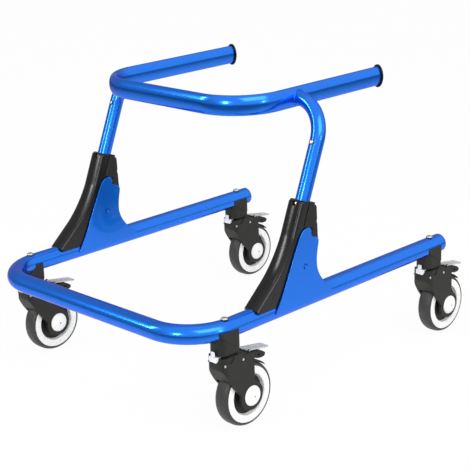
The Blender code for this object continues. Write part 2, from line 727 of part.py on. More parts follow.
def handlebar():
    """The U-shaped grip tube of oval section, level, open to the rear."""
    forward, inward, back = Vector((0, -1, 0)), Vector((-1, 0, 0)), Vector((0, 1, 0))
    quarter = math.pi / 2
    run, across = HANDLE_END_Y - HANDLE_FRONT_Y - HANDLE_CORNER, 2 * (HANDLE_X - HANDLE_CORNER)
    moves = [run, (inward, HANDLE_CORNER, quarter), across, (back, HANDLE_CORNER, quarter), run]
    size = (HANDLE_HALF_WIDTH, HANDLE_HALF_HEIGHT)
    return bent_tube((HANDLE_X, HANDLE_END_Y, HANDLE_Z), forward, moves, size, TUBE_WALL)


def mount_block(side, stem_y):
    """The moulded block saddled to the rail, with a round turret for the fork to turn on."""
    plan = rounded_plan(BLOCK_HALF, BLOCK_FRONT, BLOCK_REAR, BLOCK_CORNER, BLOCK_CORNER)
    body = prism(plan, BLOCK_FOOT_Z, BLOCK_TOP_Z, "Z")
    turret = rod(TURRET_RADIUS, FORK_TOP + 2 * GAP, BLOCK_FOOT_Z + JOIN, sides=TUBE_SIDES)
    joined = combined(body, [turret], "UNION")
    saddle = moved(base_tube(TUBE_RADIUS + GAP), (-side * RAIL_X, -stem_y, 0))
    bore = rod(STEM_RADIUS + GAP, 0, 2 * RAIL_Z)
    return combined(joined, [saddle, bore])


def stem_bolt():
    """The bolt down through rail, block and fork, its nut in the fork's pocket."""
    seat = RAIL_Z + TUBE_RADIUS + GAP
    nut_top = NUT_POCKET_Z - GAP
    profile = [
        (0, nut_top - STEM_NUT),
        (STEM_NUT_RADIUS, nut_top - STEM_NUT),
        (STEM_NUT_RADIUS, nut_top),
        (STEM_RADIUS, nut_top),
        (STEM_RADIUS, seat),
        *dome(STEM_HEAD_RADIUS, seat, STEM_HEAD),
    ]
    return turned(profile, SMALL_SIDES, "Z")


def deck_z(y):
    """Height of the fork's rear deck at a distance behind the stem."""
    share = (y - FORK_STEP_Y) / (FORK_REAR - FORK_STEP_Y)
    return FORK_DECK_Z + (FORK_DECK_END_Z - FORK_DECK_Z) * share


def drag_hinge_z():
    return deck_z(DRAG_HINGE_Y) + GAP + DRAG_BARREL


def fork():
    """The moulded fork: housing, two legs, the strip over the tyre, and pockets for the levers."""
    axle = (TRAIL, WHEEL_RADIUS)
    leg_top = math.acos((FORK_REAR - TRAIL) / LEG_END_RADIUS)
    leg_front = LEG_FRONT_ANGLE - math.tau
    outline = [
        (-FORK_FRONT, FORK_TOP),
        (FORK_STEP_Y, FORK_TOP),
        (FORK_STEP_Y, FORK_DECK_Z),
        (FORK_REAR, FORK_DECK_END_Z),
        *arc(axle, LEG_END_RADIUS, leg_top, leg_front, 10),
        (FORK_LIP_Y, FORK_LIP_Z),
        (-FORK_FRONT, FORK_CHIN_Z),
    ]
    body = prism(outline, -FORK_HALF, FORK_HALF)
    plan = prism(rounded_plan(FORK_HALF, FORK_FRONT, 2 * FORK_REAR, FORK_CORNER), 0, 2 * FORK_TOP, "Z")
    body = combined(body, [plan], "INTERSECT")

    ears = []
    for side in (1, -1):
        low, high = sorted((side * (DRAG_HALF + GAP), side * (DRAG_HALF + GAP + EAR_WIDTH)))
        rise = drag_hinge_z() + DRAG_BARREL + EAR_RISE
        foot = deck_z(DRAG_HINGE_Y) - DECK_THICKNESS / 2
        front, back = DRAG_HINGE_Y - EAR_HALF_LENGTH, DRAG_HINGE_Y + EAR_HALF_LENGTH
        ears.append(prism([(front, foot), (back, foot), (back, rise), (front, rise)], low, high))
    body = combined(body, ears, "UNION")

    well = moved(rod(WHEEL_WELL_RADIUS, -LEG_INNER, LEG_INNER, "X", WHEEL_SIDES), (0, *axle))
    bolt_hole = rod(STEM_RADIUS + GAP, 0, 2 * FORK_TOP)
    nut_pocket = rod(STEM_NUT_RADIUS + RUNNING_GAP, WHEEL_RADIUS, NUT_POCKET_Z)
    pocket_rear = FORK_REAR + JOIN
    pedal_pocket = prism(
        [
            (POCKET_FRONT, deck_z(POCKET_FRONT) - DECK_THICKNESS),
            (pocket_rear, deck_z(pocket_rear) - DECK_THICKNESS),
            (pocket_rear, WHEEL_RADIUS + LEG_END_RADIUS),
            (POCKET_FRONT, WHEEL_RADIUS + LEG_END_RADIUS),
        ],
        -POCKET_HALF,
        POCKET_HALF,
    )
    tab_rear = TAB_PIN_Y + TAB_BARREL + TAB_SWING
    tab_floor = LEVER_PIN_Z - TAB_BARREL - RUNNING_GAP
    wall_back = -FORK_FRONT + TAB_WALL
    wall_top = TAB_TOP_Z - TAB_PAD - RUNNING_GAP
    tab_pocket = prism(
        [
            (-2 * FORK_FRONT, 2 * FORK_TOP),
            (-2 * FORK_FRONT, wall_top),
            (wall_back, wall_top),
            (wall_back, tab_floor),
            (tab_rear, tab_floor),
            (tab_rear, 2 * FORK_TOP),
        ],
        -TAB_HALF - RUNNING_GAP,
        TAB_HALF + RUNNING_GAP,
    )
    across = 2 * FORK_HALF
    holes = [
        moved(rod(AXLE_RADIUS + GAP, -across, across, "X"), (0, *axle)),
        moved(rod(LEVER_PIN_RADIUS + GAP, -across, across, "X", PIN_SIDES), (0, TAB_PIN_Y, LEVER_PIN_Z)),
        moved(rod(LEVER_PIN_RADIUS + GAP, -across, across, "X", PIN_SIDES), (0, PEDAL_PIN_Y, LEVER_PIN_Z)),
        moved(rod(DRAG_PIN + GAP, -across, across, "X", PIN_SIDES), (0, DRAG_HINGE_Y, drag_hinge_z())),
    ]
    body = combined(body, [well, bolt_hole, nut_pocket, pedal_pocket, tab_pocket, *holes])
    return combined(body, [guard_strip()], "UNION")


def guard_strip():
    """The thin strip that follows the tyre behind the crown, rooted in the crown."""
    axle = (TRAIL, WHEEL_RADIUS)
    root = math.pi / 2 + math.asin((TRAIL - POCKET_FRONT + STRIP_ROOT) / STRIP_RADIUS)
    end = math.pi / 2 - STRIP_END_ANGLE
    foot_end = root - STRIP_ROOT / STRIP_RADIUS
    lower = arc(axle, STRIP_RADIUS, root, end, 7)
    upper = arc(axle, STRIP_RADIUS + STRIP_THICKNESS, end, foot_end, 6)
    foot = arc(axle, WHEEL_WELL_RADIUS + STRIP_ROOT, foot_end, root, 1)
    return prism(lower + upper + foot, -STRIP_HALF, STRIP_HALF)


def axle():
    """The axle along X with its round cap outside each leg."""
    seat = FORK_HALF + GAP
    upper = [(AXLE_RADIUS, seat)] + dome(HUB_CAP_RADIUS, seat, HUB_CAP)
    return turned(both_ends(upper), TUBE_SIDES, "X")


def wheel_turned(half):
    """Half a profile of (radius, X), mirrored and turned about X with a flat facet at the bottom."""
    mesh = turned(both_ends(half), WHEEL_SIDES, "X")
    mesh.transform(Matrix.Rotation(math.pi / WHEEL_SIDES, 4, "X"))
    return mesh


def rim():
    """The wheel's moulded centre: hub, recessed web, ring and the two flanges that hold the tyre."""
    groove = TYRE_SEAT - GAP
    hub_half = LEG_INNER - GAP
    half = [
        (groove, RIM_HALF - RIM_FLANGE),
        (RIM_RADIUS, RIM_HALF - RIM_FLANGE),
        (RIM_RADIUS, RIM_HALF),
        (RIM_INNER, RIM_HALF),
        (RIM_INNER - RIM_DRAFT, RIM_WEB_HALF),
        (HUB_RADIUS + RIM_DRAFT, RIM_WEB_HALF),
        (HUB_RADIUS, hub_half),
        (AXLE_RADIUS + GAP, hub_half),
    ]
    return wheel_turned(half)


def tyre():
    """The solid tyre, its foot in the rim's groove and its shoulders rounded over the flanges."""
    foot_half = RIM_HALF - RIM_FLANGE - GAP
    side = RIM_RADIUS + GAP
    tread = WHEEL_RADIUS / math.cos(math.pi / WHEEL_SIDES)
    crown = arc((tread - TYRE_ROUND, TYRE_HALF - TYRE_ROUND), TYRE_ROUND, math.pi / 2, 0, 2)
    half = [(TYRE_SEAT, foot_half), (side, foot_half), (side, TYRE_HALF)] + crown
    return wheel_turned(half)


def lever_pin(reach, location):
    """A pin along X with a flat head outside each wall of the fork."""
    upper = [
        (LEVER_PIN_RADIUS, reach),
        (LEVER_PIN_HEAD_RADIUS, reach),
        (LEVER_PIN_HEAD_RADIUS, reach + LEVER_PIN_HEAD),
        (0, reach + LEVER_PIN_HEAD),
    ]
    return moved(turned(both_ends(upper), PIN_SIDES, "X"), location)


def brake_pedal():
    """The foot pedal about its pin: a channel that straddles the guard strip."""
    top_gap = DECK_THICKNESS + 2 * RUNNING_GAP
    pin = (PEDAL_PIN_Y, LEVER_PIN_Z)
    outline = [
        *arc(pin, PEDAL_BARREL, PEDAL_BARREL_LOW, PEDAL_BARREL_HIGH, 6),
        (FORK_REAR, deck_z(FORK_REAR) - top_gap),
        *[(pin[0] + y * MM, pin[1] + z * MM) for y, z in PEDAL_TOP + PEDAL_UNDER],
    ]
    body = prism(outline, -PEDAL_HALF, PEDAL_HALF)
    body = combined(body, [lever_pin(FORK_HALF + GAP, (0, *pin))], "UNION")
    shoe = rod(PEDAL_SHOE_RADIUS, -STRIP_HALF - GAP, STRIP_HALF + GAP, "X", WHEEL_SIDES)
    moved(shoe, (0, TRAIL, WHEEL_RADIUS))
    return moved(combined(body, [shoe]), (0, -PEDAL_PIN_Y, -LEVER_PIN_Z))


def swivel_tab():
    """The swivel lock's tab about its pin: an arm up out of the pocket and a pad over the front wall."""
    pin = (TAB_PIN_Y, LEVER_PIN_Z)
    arm_front = -FORK_FRONT + TAB_WALL + RUNNING_GAP
    arm_back = arm_front + TAB_ARM
    top_inner = FORK_TOP - RUNNING_GAP
    pad_foot = TAB_TOP_Z - TAB_PAD
    outline = [
        *arc(pin, TAB_BARREL, 0, TAB_BARREL_END, 6),
        (arm_front, pad_foot),
        (-TAB_FRONT, pad_foot),
        (-TAB_FRONT, TAB_TOP_Z - TAB_CHAMFER),
        (-TAB_FRONT + TAB_CHAMFER, TAB_TOP_Z),
        (arm_front, TAB_TOP_Z),
        (arm_back, top_inner),
    ]
    body = prism(outline, -TAB_HALF, TAB_HALF)
    corner_y = FORK_CORNER - FORK_FRONT
    head_rear = min(TAB_PIN_Y + LEVER_PIN_HEAD_RADIUS, corner_y)
    wall = FORK_HALF - FORK_CORNER + math.sqrt(FORK_CORNER**2 - (head_rear - corner_y) ** 2)
    body = combined(body, [lever_pin(wall + GAP, (0, *pin))], "UNION")
    return moved(body, (0, -TAB_PIN_Y, -LEVER_PIN_Z))


def drag_tab():
    """The thin lever over the pedal about its own hinge pin."""
    hinge = (DRAG_HINGE_Y, drag_hinge_z())
    slope = math.atan2(DRAG_TIP_Z - hinge[1], DRAG_TIP_Y - hinge[0])
    length = DRAG_TIP_Y - hinge[0]
    half = DRAG_THICKNESS / 2
    outline = arc((0, 0), DRAG_BARREL, math.tau - DRAG_BARREL_OPEN, DRAG_BARREL_OPEN, 8)
    tip = (length, length * math.tan(slope))
    edge = tip[0] - DRAG_EDGE
    outline += [(edge, tip[1] + half), tip, (edge, tip[1] - half)]
    body = prism(outline, -DRAG_HALF, DRAG_HALF)
    pin = rod(DRAG_PIN, -DRAG_HALF - EAR_WIDTH, DRAG_HALF + EAR_WIDTH, "X", PIN_SIDES)
    return combined(body, [pin], "UNION")


def build_base(root, blue, plastic, steel):
    add("base_frame", base_frame(), blue, root)
    plug = end_plug((TUBE_RADIUS, TUBE_RADIUS), 0, PLUG_FLANGE, PLUG_SPIGOT, PLUG_ROUND)
    pin = pivot_pin()
    near = TUBE_RADIUS + GAP
    right_hand = plate(-near - PLATE_THICKNESS, -near)
    left_hand = plate(near, near + PLATE_THICKNESS)
    for side, x in (("left", RAIL_X), ("right", -RAIL_X)):
        pivot = (x, PIVOT_Y, PIVOT_Z)
        inner, outer = (right_hand, left_hand) if x > 0 else (left_hand, right_hand)
        add(f"{side}_rail_plug", plug, plastic, root, (x, RAIL_END_Y, RAIL_Z))
        add(f"{side}_inner_plate", inner, blue, root, pivot)
        add(f"{side}_outer_plate", outer, blue, root, pivot)
        add(f"{side}_pivot_pin", pin, steel, root, pivot)


def build_column(root, blue, plastic, steel, brass):
    fold = axis_empty("fold_axis", root, (0, PIVOT_Y, PIVOT_Z), -LEAN)
    height = axis_empty("height_slide", fold, (0, -TUBE_OFFSET, 0))
    level = axis_empty("handle_level", fold, (0, 0, 0), LEAN)
    cover, tube, catch, pin, button = shroud(), sleeve(), latch(), height_pin(), upper_button()
    button_z = upright_bend_start() - BUTTON_BELOW_BEND
    for side, x in (("left", RAIL_X), ("right", -RAIL_X)):
        add(f"{side}_shroud", cover, plastic, fold, (x, 0, 0))
        add(f"{side}_sleeve", tube, steel, fold, (x, 0, 0))
        add(f"{side}_latch", catch, plastic, fold, (x, 0, 0))
        add(f"{side}_height_pin", pin, brass, fold, (x, 0, 0))
        add(f"{side}_upright", upright(math.copysign(1, x)), blue, height, (x, 0, 0))
        add(f"{side}_upper_button", button, steel, height, (x, 0, button_z))
    add("handlebar", handlebar(), blue, level, (0, -PIVOT_Y, -PIVOT_Z))
    cap = end_plug((HANDLE_HALF_WIDTH, HANDLE_HALF_HEIGHT), CAP_LIP, CAP_FLANGE, CAP_SPIGOT, CAP_ROUND)
    for side, x in (("left", HANDLE_X), ("right", -HANDLE_X)):
        add(f"{side}_handle_cap", cap, plastic, level, (x, HANDLE_END_Y - PIVOT_Y, HANDLE_Z - PIVOT_Z))


def build_casters(root, plastic, steel, white, rubber, smoke):
    legs, spindle, hub, tread, bolt = fork(), axle(), rim(), tyre(), stem_bolt()
    pedal, lock_tab, lever = brake_pedal(), swivel_tab(), drag_tab()
    for row, stem_y in (("front", FRONT_STEM_Y), ("rear", REAR_STEM_Y)):
        for side, x in (("left", RAIL_X), ("right", -RAIL_X)):
            corner = f"{row}_{side}"
            block = mount_block(math.copysign(1, x), stem_y)
            add(f"{corner}_mount_block", block, plastic, root, (x, stem_y, 0))
            add(f"{corner}_stem_bolt", bolt, steel, root, (x, stem_y, 0))
            swivel = axis_empty(f"{corner}_swivel_axis", root, (x, stem_y, 0))
            wheel = axis_empty(f"{corner}_wheel_axis", swivel, (0, TRAIL, WHEEL_RADIUS))
            add(f"{corner}_fork", legs, plastic, swivel)
            add(f"{corner}_axle", spindle, white, wheel)
            add(f"{corner}_rim", hub, white, wheel)
            add(f"{corner}_tyre", tread, rubber, wheel)
            add(f"{corner}_brake_pedal", pedal, plastic, swivel, (0, PEDAL_PIN_Y, LEVER_PIN_Z))
            add(f"{corner}_swivel_tab", lock_tab, white, swivel, (0, TAB_PIN_Y, LEVER_PIN_Z))
            add(f"{corner}_drag_tab", lever, smoke, swivel, (0, DRAG_HINGE_Y, drag_hinge_z()))


def main():
    clear_scene()
    blue = finish("metallic_blue", (0.02, 0.13, 0.75), 0.25, 0.6)
    plastic = finish("black_plastic", (0.03, 0.03, 0.03), 0.45)
    steel = finish("steel", (0.6, 0.6, 0.6), 0.25, 1.0)
    brass = finish("brass", (0.7, 0.55, 0.3), 0.3, 1.0)
    white = finish("white_plastic", (0.85, 0.85, 0.83), 0.4)
    rubber = finish("grey_rubber", (0.06, 0.06, 0.06), 0.7)
    smoke = finish("pale_grey_plastic", (0.55, 0.55, 0.53), 0.35)
    middle = (REAR_STEM_Y + TRAIL + WHEEL_RADIUS - TUBE_RADIUS) / 2
    root = axis_empty("gait_trainer", None, (0, -middle, 0))
    build_base(root, blue, plastic, steel)
    build_column(root, blue, plastic, steel, brass)
    build_casters(root, plastic, steel, white, rubber, smoke)


main()
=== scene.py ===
# %% Load the frame
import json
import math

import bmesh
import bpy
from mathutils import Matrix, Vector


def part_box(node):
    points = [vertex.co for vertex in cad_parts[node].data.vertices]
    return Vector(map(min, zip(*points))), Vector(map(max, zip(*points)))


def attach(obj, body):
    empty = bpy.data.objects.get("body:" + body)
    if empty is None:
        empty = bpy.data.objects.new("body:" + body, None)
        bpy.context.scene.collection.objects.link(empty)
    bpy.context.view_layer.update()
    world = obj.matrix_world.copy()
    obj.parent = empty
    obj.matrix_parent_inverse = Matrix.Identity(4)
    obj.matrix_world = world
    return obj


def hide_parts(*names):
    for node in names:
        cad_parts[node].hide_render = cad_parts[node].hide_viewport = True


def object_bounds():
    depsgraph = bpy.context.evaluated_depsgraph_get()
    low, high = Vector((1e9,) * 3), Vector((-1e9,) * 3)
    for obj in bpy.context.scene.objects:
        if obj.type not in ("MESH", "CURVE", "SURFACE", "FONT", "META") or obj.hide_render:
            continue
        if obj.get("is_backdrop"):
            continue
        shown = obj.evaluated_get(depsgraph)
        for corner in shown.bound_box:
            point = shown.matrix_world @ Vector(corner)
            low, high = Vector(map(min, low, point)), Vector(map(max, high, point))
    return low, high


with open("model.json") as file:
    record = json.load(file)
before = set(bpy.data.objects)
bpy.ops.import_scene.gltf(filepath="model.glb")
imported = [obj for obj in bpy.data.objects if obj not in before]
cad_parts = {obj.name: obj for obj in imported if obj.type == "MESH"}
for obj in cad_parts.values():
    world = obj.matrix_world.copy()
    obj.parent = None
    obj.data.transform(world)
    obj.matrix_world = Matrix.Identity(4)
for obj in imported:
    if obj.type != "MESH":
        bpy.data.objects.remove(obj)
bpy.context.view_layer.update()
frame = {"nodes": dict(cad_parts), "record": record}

# %% [markdown]
# # A gait trainer in blue tube and black mouldings
# A gait trainer helps someone learn to walk. A low frame of bent blue tube runs round the user's
# feet on four casters. On each side a column leans back and carries one handlebar, and a black
# catch lets both columns fold down to the rear. The engineering model is already in the scene as
# plain solids. This lesson dresses it: finer meshes in the same places, finishes, light, a camera.
#
# The dressed model is to keep the plain model's size; its size is printed at the end.

# %% [markdown]
# ## Where things are
# Every measurement that a piece shares with its neighbours is read from the plain solids or from
# the joints once, so that nothing drifts apart. X runs to the user's left, the user faces -Y, and Z
# is up. Sizes in this lesson are millimetres times MM, because Blender works in metres.

# %% Read the main places
MM = 0.001
SIDES = {"left": 1, "right": -1}
CORNERS = [f"{row}_{side}" for row in ("front", "rear") for side in SIDES]
joints = {joint["name"]: joint for joint in frame["record"]["behaviour"]["joints"]}

rail_low, rail_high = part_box("base_frame")
RAIL_RADIUS = (rail_high.z - rail_low.z) / 2
RAIL_Z = (rail_high.z + rail_low.z) / 2
RAIL_X = rail_high.x - RAIL_RADIUS
FRONT_Y = rail_low.y + RAIL_RADIUS
RAIL_END = rail_high.y

handle_low, handle_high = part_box("handlebar")
HANDLE_HALF_WIDTH = 10.5 * MM  # the plain bar's section is an oval, so a box doesn't give its width
HANDLE_HALF_HEIGHT = (handle_high.z - handle_low.z) / 2
HANDLE_Z = (handle_high.z + handle_low.z) / 2
HANDLE_X = handle_high.x - HANDLE_HALF_WIDTH
HANDLE_FRONT = handle_low.y + HANDLE_HALF_WIDTH
HANDLE_END = handle_high.y

PIVOT = Vector(joints["fold"]["pos_m"])
slide = Vector(joints["height"]["axis"])
LEAN = math.atan2(slide.y, slide.z)
print("rail radius", round(RAIL_RADIUS / MM, 2), "mm")
print("the columns lean", round(math.degrees(LEAN), 1), "degrees")

# %% [markdown]
# The columns and the casters each repeat, so each is modelled once round its own origin and then
# copied to its places. A column stands at the fold's hinge and leans back. A caster stands under
# its stem, with its wheel trailing behind. A finished piece keeps its object at the world's origin:
# the place goes into the mesh, so that patterns that read Object coordinates stay put.

# %% Places for the repeated pieces
def column_place(side):
    """The matrix from a column's own space (Z up the tube, Y rearward) to the world."""
    hinge = Matrix.Translation((SIDES[side] * RAIL_X, PIVOT.y, PIVOT.z))
    return hinge @ Matrix.Rotation(-LEAN, 4, "X")


def caster_place(corner):
    """The matrix from a caster's own space (origin on the floor under its stem) to the world."""
    stem = joints[f"{corner}_swivel"]["pos_m"]
    return Matrix.Translation((stem[0], stem[1], 0))


places = {side: column_place(side) for side in SIDES}
places.update({corner: caster_place(corner) for corner in CORNERS})
print(len(places), "places, such as", places["front_left"].translation)

# %% [markdown]
# ## Finishes
# ### Shared shader groups
# Three effects turn up in nearly every finish: a fine relief such as moulded grain, a slow drift of
# roughness or brightness that keeps a surface from looking computed, and small bright or dark
# specks. Each is one node group with its own inputs. They could be copied into each material, but a
# group is built once and then carries different values. A group hands out only values, and the
# shader itself stays in the material, where an exporter can find it.

# %% Helpers for shader nodes
def new_node(tree, kind, inputs, **settings):
    """A shader node with its settings made first. Each input is a socket to link or a value."""
    node = tree.nodes.new("ShaderNode" + kind)
    for label, value in settings.items():
        setattr(node, label, value)
    for label, value in inputs.items():
        if isinstance(value, bpy.types.NodeSocket):
            tree.links.new(value, node.inputs[label])
        else:
            node.inputs[label].default_value = value
    return node


def math_node(tree, operation, first, second, clamp=False):
    """The output of a Math node whose two inputs are sockets or plain numbers."""
    return new_node(tree, "Math", {0: first, 1: second}, operation=operation, use_clamp=clamp).outputs[0]


def shader_group(name, inputs, outputs):
    """An empty shader group with a Vector input, float inputs with defaults and named outputs."""
    group = bpy.data.node_groups.new(name, "ShaderNodeTree")
    group.interface.new_socket("Vector", in_out="INPUT", socket_type="NodeSocketVector")
    for label, value in inputs.items():
        socket = group.interface.new_socket(label, in_out="INPUT", socket_type="NodeSocketFloat")
        socket.default_value = value
    for label in outputs:
        group.interface.new_socket(label, in_out="OUTPUT", socket_type="NodeSocketFloat")
    return group, group.nodes.new("NodeGroupInput"), group.nodes.new("NodeGroupOutput")


# %% The three groups
relief, taken, given = shader_group("relief", {"Scale": 900.0, "Detail": 2.0}, ["Height"])
noise = new_node(relief, "TexNoise", {
    label: taken.outputs[label] for label in ("Vector", "Scale", "Detail")
})
relief.links.new(noise.outputs["Fac"], given.inputs["Height"])

drift, taken, given = shader_group("drift", {"Scale": 25.0, "Middle": 0.5, "Swing": 0.1}, ["Value"])
noise = new_node(drift, "TexNoise", {
    "Vector": taken.outputs["Vector"], "Scale": taken.outputs["Scale"], "Detail": 4,
})
centred = math_node(drift, "SUBTRACT", noise.outputs["Fac"], 0.5)
swung = math_node(drift, "MULTIPLY", centred, taken.outputs["Swing"])
drift.links.new(math_node(drift, "ADD", swung, taken.outputs["Middle"]), given.inputs["Value"])

specks, taken, given = shader_group("specks", {"Scale": 1500.0, "Share": 0.2}, ["Mask"])
cells = new_node(specks, "TexVoronoi", {label: taken.outputs[label] for label in ("Vector", "Scale")})
lot = new_node(specks, "SeparateColor", {"Color": cells.outputs["Color"]})
chosen = math_node(specks, "LESS_THAN", lot.outputs["Red"], taken.outputs["Share"])
specks.links.new(chosen, given.inputs["Mask"])
print("groups:", [group.name for group in bpy.data.node_groups])

# %% [markdown]
# ### One recipe for a finish
# A finish here is a Principled shader with its colour, roughness and a bump, each fed by the groups.
# The recipe takes the two colours that the surface drifts between, so that no finish is one flat
# tone. Metallic, coat and the other values that are the same all over are set on the shader's own
# sockets. The patterns read Object
# coordinates: their scale is then in cycles per metre, and a grain of 900 has bumps about a
# millimetre apart.

# %% The recipe
def placed_group(tree, group, **values):
    """A shader group in a material, reading Object coordinates, with its inputs set."""
    node = tree.nodes.new("ShaderNodeGroup")
    node.node_tree = group
    for label, value in values.items():
        node.inputs[label].default_value = value
    where = tree.nodes.get("where") or tree.nodes.new("ShaderNodeTexCoord")
    where.name = "where"
    tree.links.new(where.outputs["Object"], node.inputs["Vector"])
    return node


def finish(name, slot, colour, second, share, roughness, swing, grain, height, **constants):
    """A material of two colours mixed by slow drift, drifting roughness and a fine relief; slot is not used.
    """
    material = bpy.data.materials.new(name)
    material.use_nodes = True
    tree = material.node_tree
    shader = tree.nodes["Principled BSDF"]
    mask = placed_group(tree, drift, Scale=share[0], Middle=share[1], Swing=share[2])
    tint = new_node(tree, "Mix", {
        "Factor": mask.outputs["Value"], "A": (*colour, 1), "B": (*second, 1),
    }, data_type="RGBA", name="tint")
    tree.links.new(tint.outputs["Result"], shader.inputs["Base Color"])
    gloss = placed_group(tree, drift, Scale=60, Middle=roughness, Swing=swing)
    tree.links.new(gloss.outputs["Value"], shader.inputs["Roughness"])
    surface = placed_group(tree, relief, Scale=grain, Detail=2)
    bump = new_node(tree, "Bump", {
        "Strength": 0.5, "Distance": height, "Height": surface.outputs["Height"],
    })
    tree.links.new(bump.outputs["Normal"], shader.inputs["Normal"])
    for label, value in constants.items():
        shader.inputs[label.replace("_", " ")].default_value = value
    return material


# %% [markdown]
# ### Candy-blue lacquer
# The tube is lacquered in a deep blue over bright metal: where it faces the light it is a clear
# azure, and where it turns away it falls to navy, because light crosses the tinted layer twice. A
# mostly metallic shader under a clear coat gives that. The metal flakes are specks that brighten
# the colour a little, far smaller than a pixel of the photograph but there in a close view, and a
# very low relief gives the coat its slight waviness.

# %% The blue lacquer
blue_paint = finish(
    "candy_blue_lacquer", "blue_paint", (0.010, 0.185, 0.84), (0.007, 0.155, 0.77), (18, 0.35, 0.5),
    0.20, 0.05, 160, 0.000006,
    Metallic=0.85, Specular_Tint=(0.12, 0.35, 1.0, 1.0),
    Coat_Weight=0.55, Coat_Roughness=0.03, Coat_IOR=1.4,
)
tree = blue_paint.node_tree
flakes = placed_group(tree, specks, Scale=2600, Share=0.10)
glitter = new_node(tree, "Mix", {
    "Factor": flakes.outputs["Mask"], "A": tree.nodes["tint"].outputs["Result"], "B": (0.01, 0.04, 0.06, 1),
}, data_type="RGBA", blend_type="ADD")
tree.links.new(glitter.outputs["Result"], tree.nodes["Principled BSDF"].inputs["Base Color"])
print("lacquer nodes:", len(tree.nodes))

# %% [markdown]
# ### Plastics, rubber and metals
# The column's cover is a glossy black moulding, while the catch, the forks and the mount blocks are
# the same black with a spark-eroded grain that scatters the light. The wheel rings are off-white,
# the swivel tabs a cooler white, and the lever over the pedal a pale grey that lets light through.
# The tyre is dark grey rubber with a dusty, uneven sheen. Bolts are zinc-plated, the small pin in
# the column's notch is yellow-passivated, and the spring buttons are bright.

# %% The other finishes
gloss_black = finish(
    "glossy_black_moulding", "black_plastic", (0.0025, 0.0025, 0.002), (0.004, 0.004, 0.0035), (12, 0.5, 0.6),
    0.17, 0.06, 260, 0.00001, Specular_IOR_Level=0.38,
)
grained_black = finish(
    "grained_black_moulding", "black_plastic", (0.011, 0.0108, 0.009), (0.018, 0.0175, 0.015), (20, 0.5, 0.8),
    0.50, 0.12, 1100, 0.00006, Specular_IOR_Level=0.3,
)
matt_black = finish(
    "matt_black_moulding", "black_plastic", (0.008, 0.008, 0.0065), (0.013, 0.0128, 0.011), (25, 0.5, 0.8),
    0.50, 0.10, 900, 0.00006, Specular_IOR_Level=0.3,
)
wheel_white = finish(
    "off_white_moulding", "white_plastic", (0.84, 0.84, 0.83), (0.77, 0.77, 0.75), (30, 0.35, 0.9),
    0.38, 0.10, 500, 0.00003,
)
tab_white = finish(
    "white_moulding", "white_plastic", (0.84, 0.85, 0.86), (0.76, 0.78, 0.80), (60, 0.4, 0.9),
    0.36, 0.10, 700, 0.00003,
)
pale_grey = finish(
    "pale_clear_moulding", "pale_grey_plastic", (0.74, 0.75, 0.75), (0.64, 0.65, 0.66), (40, 0.5, 0.9),
    0.30, 0.08, 600, 0.00002, Transmission_Weight=0.35, IOR=1.46,
)
rubber = finish(
    "dark_grey_rubber", "tyre", (0.020, 0.020, 0.020), (0.036, 0.035, 0.034), (35, 0.45, 1.1),
    0.46, 0.14, 1300, 0.00006,
)
bright_steel = finish(
    "zinc_plate", "bright_steel", (0.62, 0.62, 0.61), (0.50, 0.50, 0.48), (90, 0.45, 1.0),
    0.24, 0.12, 1600, 0.00003, Metallic=1.0,
)
warm_steel = finish(
    "yellow_passivated_steel", "warm_steel", (0.70, 0.52, 0.26), (0.60, 0.47, 0.30), (150, 0.5, 1.2),
    0.28, 0.10, 1500, 0.00003, Metallic=1.0,
)
plain_steel = finish(
    "bare_steel", "bright_steel", (0.46, 0.46, 0.46), (0.34, 0.34, 0.34), (60, 0.5, 1.0),
    0.36, 0.15, 1400, 0.00004, Metallic=1.0,
)
blackened = finish(
    "blackened_steel", "black_plastic", (0.02, 0.02, 0.02), (0.035, 0.035, 0.033), (80, 0.5, 1.0),
    0.40, 0.12, 900, 0.00004, Metallic=0.6,
)

# %% [markdown]
# ## Helpers for shapes
# A finished mesh always gets the same care: corners that meet are merged, faces are turned
# outwards, and the result becomes an object parented to an empty named after a body of the frame.
# The bevel is a modifier: it catches the light along every hard edge, as a moulding's
# or a cut plate's edge does, and normals weighted by the size of each face keep the flats flat.

# %% From a bmesh to a piece of the model
def finished_mesh(shape):
    """The bmesh as a mesh, with doubles merged and faces pointing out."""
    bmesh.ops.remove_doubles(shape, verts=shape.verts, dist=0.004 * MM)
    bmesh.ops.recalc_face_normals(shape, faces=shape.faces)
    mesh = bpy.data.meshes.new("shape")
    shape.to_mesh(mesh)
    shape.free()
    return mesh


def piece(name, mesh, place, body, material, replaces="", round_edges=0, segments=2):
    """A named object of a copy of the mesh, placed in the world and riding on a body; edges in mm."""
    mesh = mesh.copy()
    mesh.name = name
    mesh.transform(place)
    mesh.materials.clear()
    mesh.materials.append(material)
    mesh.shade_smooth()
    mesh.set_sharp_from_angle(angle=math.radians(32))
    made = bpy.data.objects.new(name, mesh)
    bpy.context.scene.collection.objects.link(made)
    if round_edges:
        rounding = made.modifiers.new("edges", "BEVEL")
        rounding.width = round_edges * MM
        rounding.segments = segments
        rounding.limit_method = "ANGLE"
        rounding.angle_limit = math.radians(35)
        rounding.use_clamp_overlap = False
        levelled = made.modifiers.new("normals", "WEIGHTED_NORMAL")
        levelled.keep_sharp = True
    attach(made, body)
    if replaces:
        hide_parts(replaces)
    return made


# %% [markdown]
# Three ways of making a solid cover nearly everything. A moulding or plate is an outline, with its
# corners rounded by a vertex bevel, pushed out to a thickness. A pin, wheel or cap is half an
# outline spun round an axis. A hole or pocket is one solid taken out of another.

